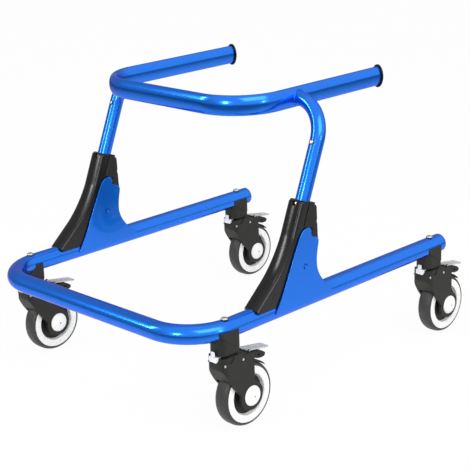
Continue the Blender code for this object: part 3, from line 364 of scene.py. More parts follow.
# %% Outline, prism, turned shape and cut
def outline(corners, steps=6):
    """A flat face in Y and Z. A corner is (y, z) or (y, z, reach of its rounding), in millimetres."""
    shape = bmesh.new()
    verts = [shape.verts.new((0, corner[0] * MM, corner[1] * MM)) for corner in corners]
    shape.faces.new(verts)
    for vert, corner in zip(verts, corners):
        if len(corner) == 3:
            bmesh.ops.bevel(
                shape, geom=[vert], offset=corner[2] * MM, offset_type="OFFSET", segments=steps,
                profile=0.5, affect="VERTICES", material=-1,
            )
    return shape


def verts_in(grown):
    """The vertices among the elements that an extrusion has made."""
    return [item for item in grown if isinstance(item, bmesh.types.BMVert)]


def pushed_out(shape, low, high):
    """The flat face as a solid from X = low to X = high, in millimetres."""
    bmesh.ops.translate(shape, verts=shape.verts, vec=(low * MM, 0, 0))
    grown = bmesh.ops.extrude_face_region(shape, geom=list(shape.faces))["geom"]
    bmesh.ops.translate(shape, verts=verts_in(grown), vec=((high - low) * MM, 0, 0))
    return finished_mesh(shape)


def prism(corners, low, high, steps=6):
    """A solid from X = low to X = high with a rounded outline, in millimetres."""
    return pushed_out(outline(corners, steps), low, high)


def slab(y_low, z_low, y_high, z_high, low, high):
    """A plain rectangular block from X = low to X = high, in millimetres."""
    return prism([(y_low, z_low), (y_high, z_low), (y_high, z_high), (y_low, z_high)], low, high)


def plan_prism(corners, low, high, steps=6):
    """A plan in X and Y with rounded corners, pushed up from low to high; millimetres."""
    mesh = prism(corners, low, high, steps)
    mesh.transform(Matrix(((0, 1, 0, 0), (0, 0, 1, 0), (1, 0, 0, 0), (0, 0, 0, 1))))
    return mesh


def turned(corners, axis="Z", sides=64, steps=6):
    """A solid of revolution. A corner is (radius, along the axis) or with its rounding, in mm."""
    shape = outline(corners, steps)
    bmesh.ops.delete(shape, geom=list(shape.faces), context="FACES_ONLY")
    ring = list(shape.verts) + list(shape.edges)
    bmesh.ops.spin(
        shape, geom=ring, cent=(0, 0, 0), axis=(0, 0, 1), angle=math.tau, steps=sides, use_merge=True
    )
    turn = {"X": ("Y", 90), "Y": ("X", -90), "Z": ("Z", 0)}[axis]
    matrix = Matrix.Rotation(math.radians(turn[1]), 3, turn[0])
    bmesh.ops.rotate(shape, matrix=matrix, verts=shape.verts, cent=(0, 0, 0))
    return finished_mesh(shape)


def rod(radius, low, high, axis="Z", sides=48):
    """A plain round bar along an axis, in millimetres, mostly used as a cutter."""
    return turned([(0, low), (radius, low), (radius, high), (0, high)], axis, sides)


def moved(mesh, x=0.0, y=0.0, z=0.0, tilt=0.0):
    """The mesh turned by tilt about X and moved, in millimetres."""
    mesh.transform(Matrix.Translation((x * MM, y * MM, z * MM)) @ Matrix.Rotation(tilt, 4, "X"))
    return mesh


def carved(body, others, operation="DIFFERENCE"):
    """The body with each other mesh cut out of it, joined to it or kept in common with it."""
    holder = bpy.data.objects.new("blank", body)
    bpy.context.scene.collection.objects.link(holder)
    tools = []
    for mesh in others:
        tool = bpy.data.objects.new("cutter", mesh)
        bpy.context.scene.collection.objects.link(tool)
        cut = holder.modifiers.new("cut", "BOOLEAN")
        cut.operation = operation
        cut.solver = "EXACT"
        cut.object = tool
        tools.append(tool)
    graph = bpy.context.evaluated_depsgraph_get()
    shape = bmesh.new()
    shape.from_mesh(holder.evaluated_get(graph).data)
    for used in (holder, *tools):
        bpy.data.objects.remove(used, do_unlink=True)
    return finished_mesh(shape)


print("helpers ready")

# %% [markdown]
# ## Bent tube
# The frame and the handlebar are each one tube bent in a machine, so we make them the same way: a
# ring of edges is pushed along straight runs and spun round the centre of each bend. A curve with a
# round bevel would also do, but the spin keeps every ring square to the tube and needs no fitting.
# The bends turn three degrees at a time, which is smooth even in a close view. Solidify then gives
# the sheet a real wall, inwards, so that the outside keeps its size.

# %% The tube helper
BEND_STEP = math.radians(3)


def bent_tube(start, heading, moves, half_width, half_height, sides=64, closed=False):
    """A tube from start. A move is a length to run, or (toward, radius, angle) to bend; metres."""
    shape = bmesh.new()
    heading = Vector(heading)
    position = Vector(start)
    place = Matrix.Translation(position) @ heading.to_track_quat("Z", "Y").to_matrix().to_4x4()
    section = place @ Matrix.Diagonal((half_width, half_height, 1, 1))
    ring = bmesh.ops.create_circle(shape, segments=sides, radius=1, matrix=section)["verts"]
    first = list({edge for vert in ring for edge in vert.link_edges})
    last = first
    for move in moves:
        if isinstance(move, tuple):
            toward, bend, angle = move
            centre = position + toward * bend
            hinge = heading.cross(toward)
            grown = bmesh.ops.spin(
                shape, geom=last, cent=centre, axis=hinge, angle=angle,
                steps=math.ceil(angle / BEND_STEP), use_duplicate=False,
            )["geom_last"]
            turn = Matrix.Rotation(angle, 3, hinge)
            position = centre + turn @ (position - centre)
            heading = turn @ heading
        else:
            grown = bmesh.ops.extrude_edge_only(shape, edges=last)["geom"]
            bmesh.ops.translate(shape, verts=verts_in(grown), vec=heading * move)
            position = position + heading * move
        ends = set(verts_in(grown))
        last = [edge for edge in shape.edges if edge.verts[0] in ends and edge.verts[1] in ends]
    if closed:
        bmesh.ops.contextual_create(shape, geom=first)
        bmesh.ops.contextual_create(shape, geom=last)
    return finished_mesh(shape)


def walled(tube, thickness=2 * MM):
    """Gives an open tube its wall, inwards, with sharp rims so that its ends keep the tube's shading."""
    shape = bmesh.new()
    shape.from_mesh(tube.data)
    for edge in shape.edges:
        edge.smooth = edge.smooth and not edge.is_boundary
    shape.to_mesh(tube.data)
    shape.free()
    wall = tube.modifiers.new("wall", "SOLIDIFY")
    wall.thickness = thickness
    wall.offset = -1
    wall.use_even_offset = True
    return tube


def u_bend(half, front, end, z, corner, half_width, half_height, closed=False):
    """A level U of tube, open to the rear, from its left end round the front to its right end."""
    inward, back = Vector((-1, 0, 0)), Vector((0, 1, 0))
    quarter = math.pi / 2
    run, across = end - front - corner, 2 * (half - corner)
    moves = [run, (inward, corner, quarter), across, (back, corner, quarter), run]
    return bent_tube((half, end, z), (0, -1, 0), moves, half_width, half_height, closed=closed)


# %% The base frame and the handlebar
WORLD = Matrix.Identity(4)
BASE_CORNER = 95 * MM
HANDLE_CORNER = 100 * MM

base_mesh = u_bend(RAIL_X, FRONT_Y, RAIL_END, RAIL_Z, BASE_CORNER, RAIL_RADIUS, RAIL_RADIUS)
base = walled(piece(
    "base_tube", base_mesh, WORLD, "base", blue_paint, replaces="base_frame"
))
handle_mesh = u_bend(
    HANDLE_X, HANDLE_FRONT, HANDLE_END, HANDLE_Z, HANDLE_CORNER, HANDLE_HALF_WIDTH, HANDLE_HALF_HEIGHT
)
grip = walled(piece(
    "handlebar_tube", handle_mesh, WORLD, "handle", blue_paint, replaces="handlebar"
))
print("base", len(base.data.polygons), "faces; handlebar", len(grip.data.polygons), "faces")

# %% [markdown]
# ## Plugs and caps
# Black mouldings close the open ends: a thin plug in each rail and a cap with a proud flange on each
# end of the handlebar. They are the tube's own section, stepped along it, so a ring of edges is
# extruded from level to level and scaled to each level's inset. The bevel modifier rounds the rims.

# %% Plugs and caps
def end_moulding(half_width, half_height, levels, sides=64):
    """A plug along Y. A level is (how far inside the tube's outline, where along Y), in mm."""
    shape = bmesh.new()
    inset, along = levels[0]
    size = Matrix.Diagonal((half_width - inset * MM, half_height - inset * MM, 1, 1))
    place = Matrix.Translation((0, along * MM, 0)) @ Matrix.Rotation(math.pi / 2, 4, "X")
    ring = bmesh.ops.create_circle(shape, segments=sides, radius=1, matrix=place @ size)["verts"]
    edges = list({edge for vert in ring for edge in vert.link_edges})
    bmesh.ops.contextual_create(shape, geom=edges)
    for (inset, along), (beyond, on) in zip(levels, levels[1:]):
        grown = bmesh.ops.extrude_edge_only(shape, edges=edges)["geom"]
        verts = verts_in(grown)
        edges = [item for item in grown if isinstance(item, bmesh.types.BMEdge)]
        grow = (half_width - beyond * MM) / (half_width - inset * MM)
        rise = (half_height - beyond * MM) / (half_height - inset * MM)
        bmesh.ops.translate(shape, verts=verts, vec=(0, (on - along) * MM, 0))
        bmesh.ops.scale(shape, verts=verts, vec=(grow, 1, rise))
    bmesh.ops.contextual_create(shape, geom=edges)
    return finished_mesh(shape)


plug = end_moulding(RAIL_RADIUS, RAIL_RADIUS, [(2.3, -12), (2.3, 0.3), (0.1, 0.3), (0, 1.5), (1.2, 1.8)])
cap = end_moulding(
    HANDLE_HALF_WIDTH, HANDLE_HALF_HEIGHT,
    [(2.3, -15), (2.3, 0.3), (-3.4, 0.3), (-4, 0.9), (-4, 3.2), (-2.8, 4.2), (1.5, 4.3)],
)
for side, sign in SIDES.items():
    at = Matrix.Translation((sign * RAIL_X, RAIL_END, RAIL_Z))
    piece(f"{side}_rail_end_plug", plug, at, "base", gloss_black,
          replaces=f"{side}_rail_plug", round_edges=0.3)
    at = Matrix.Translation((sign * HANDLE_X, HANDLE_END, HANDLE_Z))
    piece(f"{side}_handle_end_cap", cap, at, "handle", gloss_black,
          replaces=f"{side}_handle_cap", round_edges=0.5)
print("end mouldings:", len(plug.polygons), "and", len(cap.polygons), "faces")

# %% [markdown]
# ## The gusset plates
# A laser-cut plate is welded to each face of a rail, and the column hinges between the two. The
# outline comes from the plain plate: a swept front edge, a lobe, the notch where the catch drops in,
# and a waisted rear edge. Each corner is given with how far its rounding reaches. The edge catches a
# fine bright line in the photograph, which the bevel gives, and a slim bead joins the foot to the
# rail.

# %% The plates and their weld beads
PLATE = 3
PLATE_GAP = 0.3
HINGE_HOLE = 5.3
PLATE_OUTLINE = [
    (-84, -72), (-63, -38, 15), (-45, -1, 15), (-29.5, 32, 14), (-14, 62, 6), (-4, 73, 5.2),
    (7, 76, 3.8), (15, 74, 3.2), (19, 68, 3.2), (17.5, 60, 3.4), (21.5, 53.5, 3.2), (30.5, 52.8, 1.4),
    (35.8, 49.3, 2), (39, 44, 2.6), (37.5, 35, 4), (34.5, 22, 6), (32.6, 7, 7), (33.5, -10, 6.5),
    (39, -24, 6.5), (47, -36, 6.5), (57, -47, 6), (84, -72),
]
near = RAIL_RADIUS / MM + PLATE_GAP
hinge_hole = rod(HINGE_HOLE, -40, 40, "X")
bead = moved(rod(1.3, -84, 84, "Y", 16), z=-72.6)
for side, sign in SIDES.items():
    for where, facing in (("outer", sign), ("inner", -sign)):
        low, high = sorted((facing * near, facing * (near + PLATE)))
        sheet_metal = carved(prism(PLATE_OUTLINE, low, high), [hinge_hole.copy()])
        at = Matrix.Translation((sign * RAIL_X, PIVOT.y, PIVOT.z))
        piece(f"{side}_{where}_gusset", sheet_metal, at, "base", blue_paint,
              replaces=f"{side}_{where}_plate", round_edges=0.6)
        at = at @ Matrix.Translation((facing * (near + 0.9) * MM, 0, 0))
        piece(f"{side}_{where}_foot_weld", bead, at, "base", blue_paint)
print("plates:", PLATE, "mm, with", len(sheet_metal.polygons), "faces each")

# %% [markdown]
# ## The hinge pin
# The column folds on a pin through both plates. The photograph shows its end as a small dark ring
# with a blue middle: a lacquered pin, shallowly dished, in a hole a little larger than itself.

# %% The hinge pin
face = near + PLATE
hinge_pin = turned([
    (0, -face + 0.5), (1.6, -face + 0.5), (2.2, -face - 0.4, 0.4), (3.9, -face - 0.4, 0.5),
    (3.9, face + 0.4, 0.5), (2.2, face + 0.4, 0.4), (1.6, face - 0.5), (0, face - 0.5),
], "X")
for side, sign in SIDES.items():
    at = Matrix.Translation((sign * RAIL_X, PIVOT.y, PIVOT.z))
    piece(f"{side}_hinge_pin", hinge_pin, at, "base", blue_paint,
          replaces=f"{side}_pivot_pin")
print("hinge pin", round(2 * face + 0.8, 1), "mm long")

# %% [markdown]
# ## The column's cover
# The most visible moulding is the tall glossy cover in front of each column. Its front is a long
# line that runs straight down and then sweeps forward to straddle the rail. It is slightly crowned
# from side to side, and that crown is what draws the bright streak down it, so a flat front would
# look wrong. We push out the side outline, slice it lengthwise, lower the slices towards the sides,
# and round the two long corners.

# %% The cover's outer form
COVER_HALF = 18.7
COVER_TOP = 123
COVER_FRONT = -51.4
SWEEP_START = 52.4
SWEEP_RADIUS = 212
SWEEP = math.radians(26.4)
CROWN = 2.6
SKIRT = -62.4
TOP_ROUNDING = 5.9


def in_column(y, z):
    """A point given level from the hinge, in millimetres, in the leaning column's space."""
    return (y * math.cos(LEAN) - z * math.sin(LEAN), y * math.sin(LEAN) + z * math.cos(LEAN))


def behind_front(y, z):
    """How far a point lies behind the cover's front line, and the direction straight back from it."""
    centre = Vector((COVER_FRONT - SWEEP_RADIUS, SWEEP_START))
    arm = Vector((y, z)) - centre
    angle = math.atan2(-arm.y, arm.x)
    if angle <= 0:
        return y - COVER_FRONT, Vector((1, 0))
    if angle < SWEEP:
        return arm.length - SWEEP_RADIUS, arm.normalized()
    back = Vector((math.cos(SWEEP), -math.sin(SWEEP)))
    return arm.dot(back) - SWEEP_RADIUS, back


reach = SWEEP_RADIUS * math.tan(SWEEP / 2)
bend = (COVER_FRONT, SWEEP_START - reach)
down = Vector((-math.sin(SWEEP), -math.cos(SWEEP)))
tail = Vector(in_column(-125.5, SKIRT))
tail_top = Vector(bend) + down * (tail - Vector(bend)).dot(down)
shape = outline([
    (COVER_FRONT, COVER_TOP - 4, 6), (*bend, reach), tuple(tail_top), tuple(tail), in_column(-23.5, SKIRT),
    (9.2, -7.7), (12.8, -3.4, 5.4), (10.8, 7.6, 5.4), (6, 10.4, 3), (-13.2, 48), (-13.2, COVER_TOP, 2),
], steps=24)
cover = pushed_out(shape, -COVER_HALF, COVER_HALF)
shape = bmesh.new()
shape.from_mesh(cover)
for slice_x in (-13, -9, -4.5, 0, 4.5, 9, 13):
    everything = list(shape.verts) + list(shape.edges) + list(shape.faces)
    bmesh.ops.bisect_plane(shape, geom=everything, plane_co=(slice_x * MM, 0, 0), plane_no=(1, 0, 0))
front = []
for vert in shape.verts:
    reach_back = TOP_ROUNDING if vert.co.z > (COVER_TOP - 10.5) * MM else 0.05
    if behind_front(vert.co.y / MM, vert.co.z / MM)[0] < reach_back:
        front.append(vert)
for vert in front:
    straight_back = behind_front(vert.co.y / MM, vert.co.z / MM)[1]
    lowered = CROWN * (vert.co.x / MM / COVER_HALF) ** 2 * MM
    vert.co.y += straight_back.x * lowered
    vert.co.z += straight_back.y * lowered
front = set(front)
long_corners = [
    edge for edge in shape.edges
    if edge.verts[0] in front and edge.verts[1] in front
    and min(abs(vert.co.x) for vert in edge.verts) > (COVER_HALF - 0.1) * MM
]
bmesh.ops.bevel(
    shape, geom=long_corners, offset=4.6 * MM, offset_type="OFFSET", segments=6, profile=0.5,
    affect="EDGES", material=-1,
)
cover = finished_mesh(shape)
print("cover:", len(front), "front vertices,", len(long_corners), "corner edges rounded")

# %% [markdown]
# Inside, the cover is a channel: a smaller copy of its side outline is cut out, open to the rear,
# along with the rail's own round where the tail straddles it, the hole for the upright, the window
# that shows the height pin, and the hinge. A small three-cornered pocket on each side, seen in the
# photograph near the foot of the sweep, is cut too.

# %% Cut the cover hollow
WALL = 2.2
FRONT_WALL = 5.2  # thicker, because the crown and the rounded corners are taken out of it
TUBE_OFFSET = 29.1
UPRIGHT_RADIUS = 14.29
ROOM = 0.4

inner_front = COVER_FRONT + FRONT_WALL
inner_reach = (SWEEP_RADIUS + FRONT_WALL) * math.tan(SWEEP / 2)
inner_bend = (inner_front, SWEEP_START - inner_reach)
inner_tail = Vector(inner_bend) + down * ((tail - Vector(inner_bend)).dot(down) + 14)
cavity = prism([
    (inner_front, COVER_TOP - WALL - 4.5), (*inner_bend, inner_reach), tuple(inner_tail),
    (24, inner_tail.y), (24, COVER_TOP - WALL),
], WALL - COVER_HALF, COVER_HALF - WALL, steps=24)
rail_room = rod(RAIL_RADIUS / MM + ROOM, -320, 500, "Y", 96)
rail_room.transform(Matrix.Rotation(LEAN, 4, "X") @ Matrix.Translation((0, 0, RAIL_Z - PIVOT.z)))
tube_hole = moved(rod(UPRIGHT_RADIUS + ROOM, 0, 260), y=-TUBE_OFFSET)
tube_front = -TUBE_OFFSET - UPRIGHT_RADIUS
pin_window = prism([(-110, 107, 1), (tube_front, 107), (tube_front, 117), (-110, 117, 1)], -5.2, 5.2)
hinge_room = rod(HINGE_HOLE, -40, 40, "X")
POCKET = [(-73, -60, 1), (-60, -61, 1), (-68, -74, 1)]
pockets = [
    prism(POCKET, facing * (COVER_HALF - 1.2), facing * (COVER_HALF + 5), 3)
    for facing in (1, -1)
]
hollow_cover = carved(cover, [cavity, rail_room, tube_hole, pin_window, hinge_room, *pockets])
for side in SIDES:
    piece(f"{side}_column_cover", hollow_cover, places[side], "column", gloss_black,
          replaces=f"{side}_shroud", round_edges=0.3)
    sleeve = frame["nodes"][f"{side}_sleeve"].data
    sleeve.materials.clear()
    sleeve.materials.append(plain_steel)
print("hollow cover:", len(hollow_cover.polygons), "faces")

# %% [markdown]
# ## The catch
# A U-shaped catch sits round the cover's rear. Its two fingers drop into the notches of the plates
# and hold the column up. The moulding is matt beside the glossy cover, with a shallow scoop for the
# thumb behind and cheeks whose front edges are chamfered. It is one outline pushed out, with the
# cover's room, the scoop and the chamfers cut away.

# %% The catch
def about_hinge(radius, degrees):
    """A point at an angle from upright about the hinge, in the column's space, in millimetres."""
    angle = math.radians(degrees) - LEAN
    return (radius * math.sin(angle), radius * math.cos(angle))


CATCH_TOP = 118.5
CATCH_FOOT = (12.8, 66)
cheek_inner, cheek_outer = COVER_HALF + 0.4, COVER_HALF + 2.9
tip = about_hinge(58.6, 21)
catch_body = prism([
    (-TUBE_OFFSET, CATCH_TOP, 2), (-10.9, CATCH_TOP, 4.5), (*CATCH_FOOT, 1.2), about_hinge(61, 38),
    about_hinge(61, 31), (tip[0] + 1.5, tip[1], 0.6), (*tip, 0.6), (tip[0] - 2.5, tip[1] + 2.5, 1),
    (-6.2, 74.6, 2), (-TUBE_OFFSET, 74.6, 2),
], -cheek_outer, cheek_outer)
chamfers = [plan_prism([
    (facing * 23.5, -31), (facing * 18.36, -31), (facing * 22.6, -25.77), (facing * 23.5, -25.77),
], 40, 140) for facing in (1, -1)]
inside = prism([
    (-58, 240), (-13.3, 240), (-13.3, CATCH_TOP), (10.4, 66), (10.4, 0), (-58, 0),
], -cheek_inner, cheek_inner)
under = prism([(-58, 68.6), (58, 68.6), (58, 0), (-58, 0)], -cheek_inner, cheek_inner)
scoop = moved(rod(10, -58, 58, "X", 96), y=10.1, z=93)
catch = carved(catch_body, [inside, under, scoop, *chamfers])
for side in SIDES:
    piece(f"{side}_catch", catch, places[side], f"{side}_latch", matt_black,
          replaces=f"{side}_latch", round_edges=0.25)
print("catch:", len(catch.polygons), "faces")

# %% [markdown]
# ## Telescoping uprights
# Each upright slides in the column, bends inwards near its top and is welded to the handlebar. It
# is a bent tube in the column's space. The weld is a raised ring that follows the handlebar's
# oval side: each point of a circle round the upright slides along it until it meets the oval, and a
# round section runs through those points.

# %% The uprights
UPRIGHT_BEND = 75
BEND_ANGLE = math.radians(78)
UPRIGHT_START = 27
rise = (HANDLE_Z - PIVOT.z) / MM
along = (rise * math.sin(LEAN) - TUBE_OFFSET) / math.cos(LEAN)
upright_end = rise * math.cos(LEAN) + along * math.sin(LEAN) + 1.4
across = (RAIL_X - HANDLE_X) / MM - UPRIGHT_BEND * (1 - math.cos(BEND_ANGLE))
bend_start = upright_end - UPRIGHT_BEND * math.sin(BEND_ANGLE) - across / math.tan(BEND_ANGLE)
for side, sign in SIDES.items():
    bend = (Vector((-sign, 0, 0)), UPRIGHT_BEND * MM, BEND_ANGLE)
    moves = [(bend_start - UPRIGHT_START) * MM, bend, (across / math.sin(BEND_ANGLE) - 4) * MM]
    start, radius = (0, -TUBE_OFFSET * MM, UPRIGHT_START * MM), UPRIGHT_RADIUS * MM
    tube = bent_tube(start, (0, 0, 1), moves, radius, radius, 48)
    walled(piece(f"{side}_upright_tube", tube, places[side], "handle", blue_paint, f"{side}_upright"))
print("the uprights bend", round(bend_start, 1), "mm above the hinge")

# %% The weld where an upright meets the handlebar
def handlebar_weld(side, sign, ring_radius, bead_radius):
    """A closed round bead on the handlebar's oval side, round the upright's axis."""
    place = places[side]
    middle = place @ Vector((-sign * (RAIL_X - HANDLE_X), -TUBE_OFFSET * MM, upright_end * MM))
    axis = place.to_3x3() @ Vector((-sign * math.sin(BEND_ANGLE), 0, math.cos(BEND_ANGLE)))
    curve = bpy.data.curves.new(f"{side}_handlebar_weld", "CURVE")
    curve.dimensions = "3D"
    curve.bevel_depth = bead_radius
    curve.bevel_resolution = 3
    line = curve.splines.new("POLY")
    line.points.add(71)
    line.use_cyclic_u = True
    level = axis.cross(Vector((0, 0, 1))).normalized()
    upward = level.cross(axis)
    for index, point in enumerate(line.points):
        angle = math.tau * index / len(line.points)
        ripple = 1 + 0.02 * math.sin(18 * angle)
        spot = middle + ring_radius * ripple * (level * math.cos(angle) + upward * math.sin(angle))
        height = min(abs(spot.z - HANDLE_Z) / HANDLE_HALF_HEIGHT, 0.98)
        surface = sign * (HANDLE_X + HANDLE_HALF_WIDTH * math.sqrt(1 - height**2))
        spot += axis * ((surface - spot.x) / axis.x)
        point.co = (*spot, 1)
    curve.materials.append(blue_paint)
    made = bpy.data.objects.new(f"{side}_handlebar_weld", curve)
    bpy.context.scene.collection.objects.link(made)
    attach(made, "handle")


for side, sign in SIDES.items():
    handlebar_weld(side, sign, 14.6 * MM, 1.3 * MM)
print("two weld rings")

# %% [markdown]
# ## Height pin and spring button
# In the window at the cover's top sits the small yellow pin that locks the height, and near the bend
# of each upright a bright spring button stands out of a black ring, which is painted shade: it stands
# for the shaded edge of the button's hole. All are turned shapes along the column's Y axis, with their
# heads to the front.

# %% Pins and buttons
seat = tube_front - 2.2
pin = moved(turned([
    (0, seat - 1.2), (2.6, seat - 1.2, 0.9), (4.1, seat, 0.9), (4.1, seat + 0.5), (2.5, seat + 0.5),
    (2.5, seat + 1.9), (0, seat + 1.9),
], "Y", 32), z=112.5)
button = turned([
    (0, tube_front - 3), (4, tube_front - 3, 2.6), (4, tube_front + 3.4), (0, tube_front + 3.4)
], "Y", 40)
# The black ring is painted shade round the button's hole.
ring = turned([
    (4.2, tube_front - 0.7), (5.4, tube_front - 0.7, 0.4), (5.4, tube_front + 1.6), (4.2, tube_front + 1.6)
], "Y", 40)
moved(button, z=bend_start - 4.9)
moved(ring, z=bend_start - 4.9)
for side in SIDES:
    piece(f"{side}_locking_pin", pin, places[side], f"{side}_height_pin", warm_steel,
          replaces=f"{side}_height_pin")
    piece(f"{side}_spring_button", button, places[side], f"{side}_upper_button", bright_steel,
          replaces=f"{side}_upper_button")
    piece(f"{side}_button_shade_ring", ring, places[side], "handle", gloss_black)
print("pin head 8.2 mm, button 8 mm across, its middle", round(bend_start - 4.9, 1), "mm up the tube")

# %% [markdown]
# ## The casters
# Four casters carry the frame. Each has a block saddled to the rail, a black moulded fork, a wheel
# with a white ring and a dark web, and three small levers: the brake pedal at the rear, a pale lever
# over it, and a white tab at the front that locks the swivel. All are made once round the stem.
#
# ### Mount block and stem bolt
# The block is a rounded plan pushed upwards, joined to a short turret below and to squarer shoulders
# above whose lower edge slopes in a wave. The rail's round is cut out of its top. The front blocks
# sit where the frame already curves, so each block is cut by the real bent shape.

# %% The mount block and its bolt
WHEEL_RADIUS = joints["front_left_roll"]["pos_m"][2] / MM
TRAIL = (joints["front_left_roll"]["pos_m"][1] - joints["front_left_swivel"]["pos_m"][1]) / MM
FORK_TOP = 2 * WHEEL_RADIUS + 30
FORK_FRONT = -28
rail_z = RAIL_Z / MM
BLOCK_TOP = rail_z + 2


def front_rounded(half, radius, rear, rear_radius=None):
    """A plan from the caster's front to rear, with its front corners rounded, for plan_prism."""
    back = (rear,) if rear_radius is None else (rear, rear_radius)
    return [(half, FORK_FRONT, radius), (half, *back), (-half, *back), (-half, FORK_FRONT, radius)]


block_body = plan_prism(front_rounded(18.9, 13, 20, 5), FORK_TOP + 3.6, BLOCK_TOP)
shoulders = prism([
    (-32, 203), (-17, 191, 9), (-1, 178.4, 12), (24, 168), (24, BLOCK_TOP), (-32, BLOCK_TOP),
], -20.2, 20.2, 10)
shoulders = carved(shoulders, [plan_prism(front_rounded(20.2, 4, 20, 5), 100, 260)], "INTERSECT")
turret = rod(18.2, FORK_TOP + 0.6, FORK_TOP + 5, sides=64)
stem_room = rod(4.3, 0, 400)
roomy = RAIL_RADIUS + 0.3 * MM
rail_form = u_bend(RAIL_X, FRONT_Y, RAIL_END, RAIL_Z, BASE_CORNER, roomy, roomy, closed=True)
block_body = carved(block_body, [turret, shoulders], "UNION")
for corner in CORNERS:
    saddle = rail_form.copy()
    saddle.transform(places[corner].inverted())
    block = carved(block_body.copy(), [saddle, stem_room.copy()])
    piece(f"{corner}_saddle_block", block, places[corner], "base", grained_black,
          replaces=f"{corner}_mount_block", round_edges=0.25)
print("mount block:", len(block.polygons), "faces")

# %% [markdown]
# The stem bolt's low domed head shows on top of the rail. It is turned, and a six-sided cutter
# gives it its socket. Under it lies a thin dark washer.

# %% The stem bolt and its washer
seat = rail_z + RAIL_RADIUS / MM + 0.3
bolt = turned([
    (0, 123), (6.5, 123), (6.5, 129.2), (4, 129.2), (4, seat + 0.9), (7.1, seat + 0.9, 0.3),
    (7.1, seat + 2.2, 1.4), (3.6, seat + 4.5, 1.4), (0, seat + 4.5),
], "Z", 48)
socket = rod(2.5, seat + 2.2, seat + 9, "Z", 6)
bolt = carved(bolt, [socket])
washer = turned([(4.2, seat), (7.5, seat, 0.2), (7.5, seat + 0.8, 0.3), (4.2, seat + 0.8)], "Z", 48)
for corner in CORNERS:
    piece(f"{corner}_domed_bolt", bolt, places[corner], "base", bright_steel,
          replaces=f"{corner}_stem_bolt", round_edges=0.15)
    piece(f"{corner}_washer", washer, places[corner], "base", blackened)
print("bolt head at", round(seat + 4.5, 1), "mm above the floor")

# %% [markdown]
# ### The fork
# The fork is one moulding: a deep housing under the block, two legs that end in discs round the
# axle, and an arch over the tyre. Its side outline is a polygon joined to the axle's disc; its front
# corners come from a rounded plan that it is kept in common with. The wheel's well, the levers'
# pockets and the pin holes are cut out. The wells are turned with many sides, because their edges
# show as long arcs.

# %% The fork's form
LEG_INNER = 17.5
FORK_HALF = 23.5
FORK_ROUND = 12
DECK = 2.5
LEVER_PIN_Z = 2 * WHEEL_RADIUS + 16
PEDAL_PIN = (23, LEVER_PIN_Z)
TAB_PIN = (-22.5, LEVER_PIN_Z)
DRAG_PIN = (47.5, 150.38)
LEG_END = 29


def deck_height(y):
    """Height of the sloping deck behind the fork's step."""
    return FORK_TOP - 6 - 3.4 * (y - 20) / 32


side_form = prism([
    (FORK_FRONT, FORK_TOP, 1.5), (20, FORK_TOP, 1.5), (20, FORK_TOP - 6, 2), (52, FORK_TOP - 9.4, 2.5),
    (52, 91.2), (TRAIL, WHEEL_RADIUS), (15.1, 69.5), (-10, 102, 8), (FORK_FRONT, 133, 4),
], -FORK_HALF, FORK_HALF)
leg_disc = moved(rod(LEG_END, -FORK_HALF, FORK_HALF, "X", 96), y=TRAIL, z=WHEEL_RADIUS)
fork_plan = plan_prism(front_rounded(FORK_HALF, FORK_ROUND, 120), 0, 200, 10)
ears = [
    prism([(44.5, 146), (50.5, 146), (50.5, 153, 2.4), (44.5, 153, 2.4)], low, low + 2.4)
    for low in (12.3, -14.7)
]
fork_form = carved(carved(carved(side_form, [leg_disc], "UNION"), [fork_plan], "INTERSECT"), ears, "UNION")

well = moved(rod(WHEEL_RADIUS + 4, -LEG_INNER, LEG_INNER, "X", 128), y=TRAIL, z=WHEEL_RADIUS)
pedal_pocket = prism([
    (16, deck_height(16) - DECK), (53, deck_height(53) - DECK), (53, 92.5), (16, 92.5),
], -15.8, 15.8)
tab_pocket = prism([
    (-56, 400), (-56, FORK_TOP - 6.8), (-25.2, FORK_TOP - 6.8), (-25.2, LEVER_PIN_Z - 2.7, 1.5),
    (-18.4, LEVER_PIN_Z - 2.7, 1.5), (-18.4, 400),
], -8.9, 8.9)
nut_room = rod(6.9, 63, 129.5)
axle_room = moved(rod(5.3, -60, 60, "X"), y=TRAIL, z=WHEEL_RADIUS)
pin_rooms = [
    moved(rod(radius, -60, 60, "X", 24), y=place[0], z=place[1])
    for radius, place in ((2.1, PEDAL_PIN), (2.1, TAB_PIN), (1.4, DRAG_PIN))
]
y, z = PEDAL_PIN
PIN_DISH = [
    (y + across, z + up, 3.4) for across, up in ((-5.2, -3.6), (5.2, -3.6), (5.2, 3.6), (-5.2, 3.6))
]
TOP_DISH = [
    (-15.5, FORK_TOP + 4), (-15.5, LEVER_PIN_Z + 4, 3), (-9, LEVER_PIN_Z + 1, 3), (-1.5, LEVER_PIN_Z + 6, 5),
    (-1.5, FORK_TOP + 4),
]
dishes = [
    prism(corners, *sorted((facing * (FORK_HALF - depth), facing * (FORK_HALF + 5))), 8)
    for facing in (1, -1) for corners, depth in ((PIN_DISH, 1), (TOP_DISH, 2))
]
fork = carved(fork_form, [well, nut_room, pedal_pocket, tab_pocket, axle_room, stem_room.copy(), *pin_rooms])
fork = carved(fork, dishes)
print("fork:", len(fork.polygons), "faces")

# %% The strip over the tyre
def arc(radius, start, end, steps):
    """Points on a circle round the axle, in millimetres."""
    angles = [start + (end - start) * step / steps for step in range(steps + 1)]
    return [(TRAIL + radius * math.cos(a), WHEEL_RADIUS + radius * math.sin(a)) for a in angles]


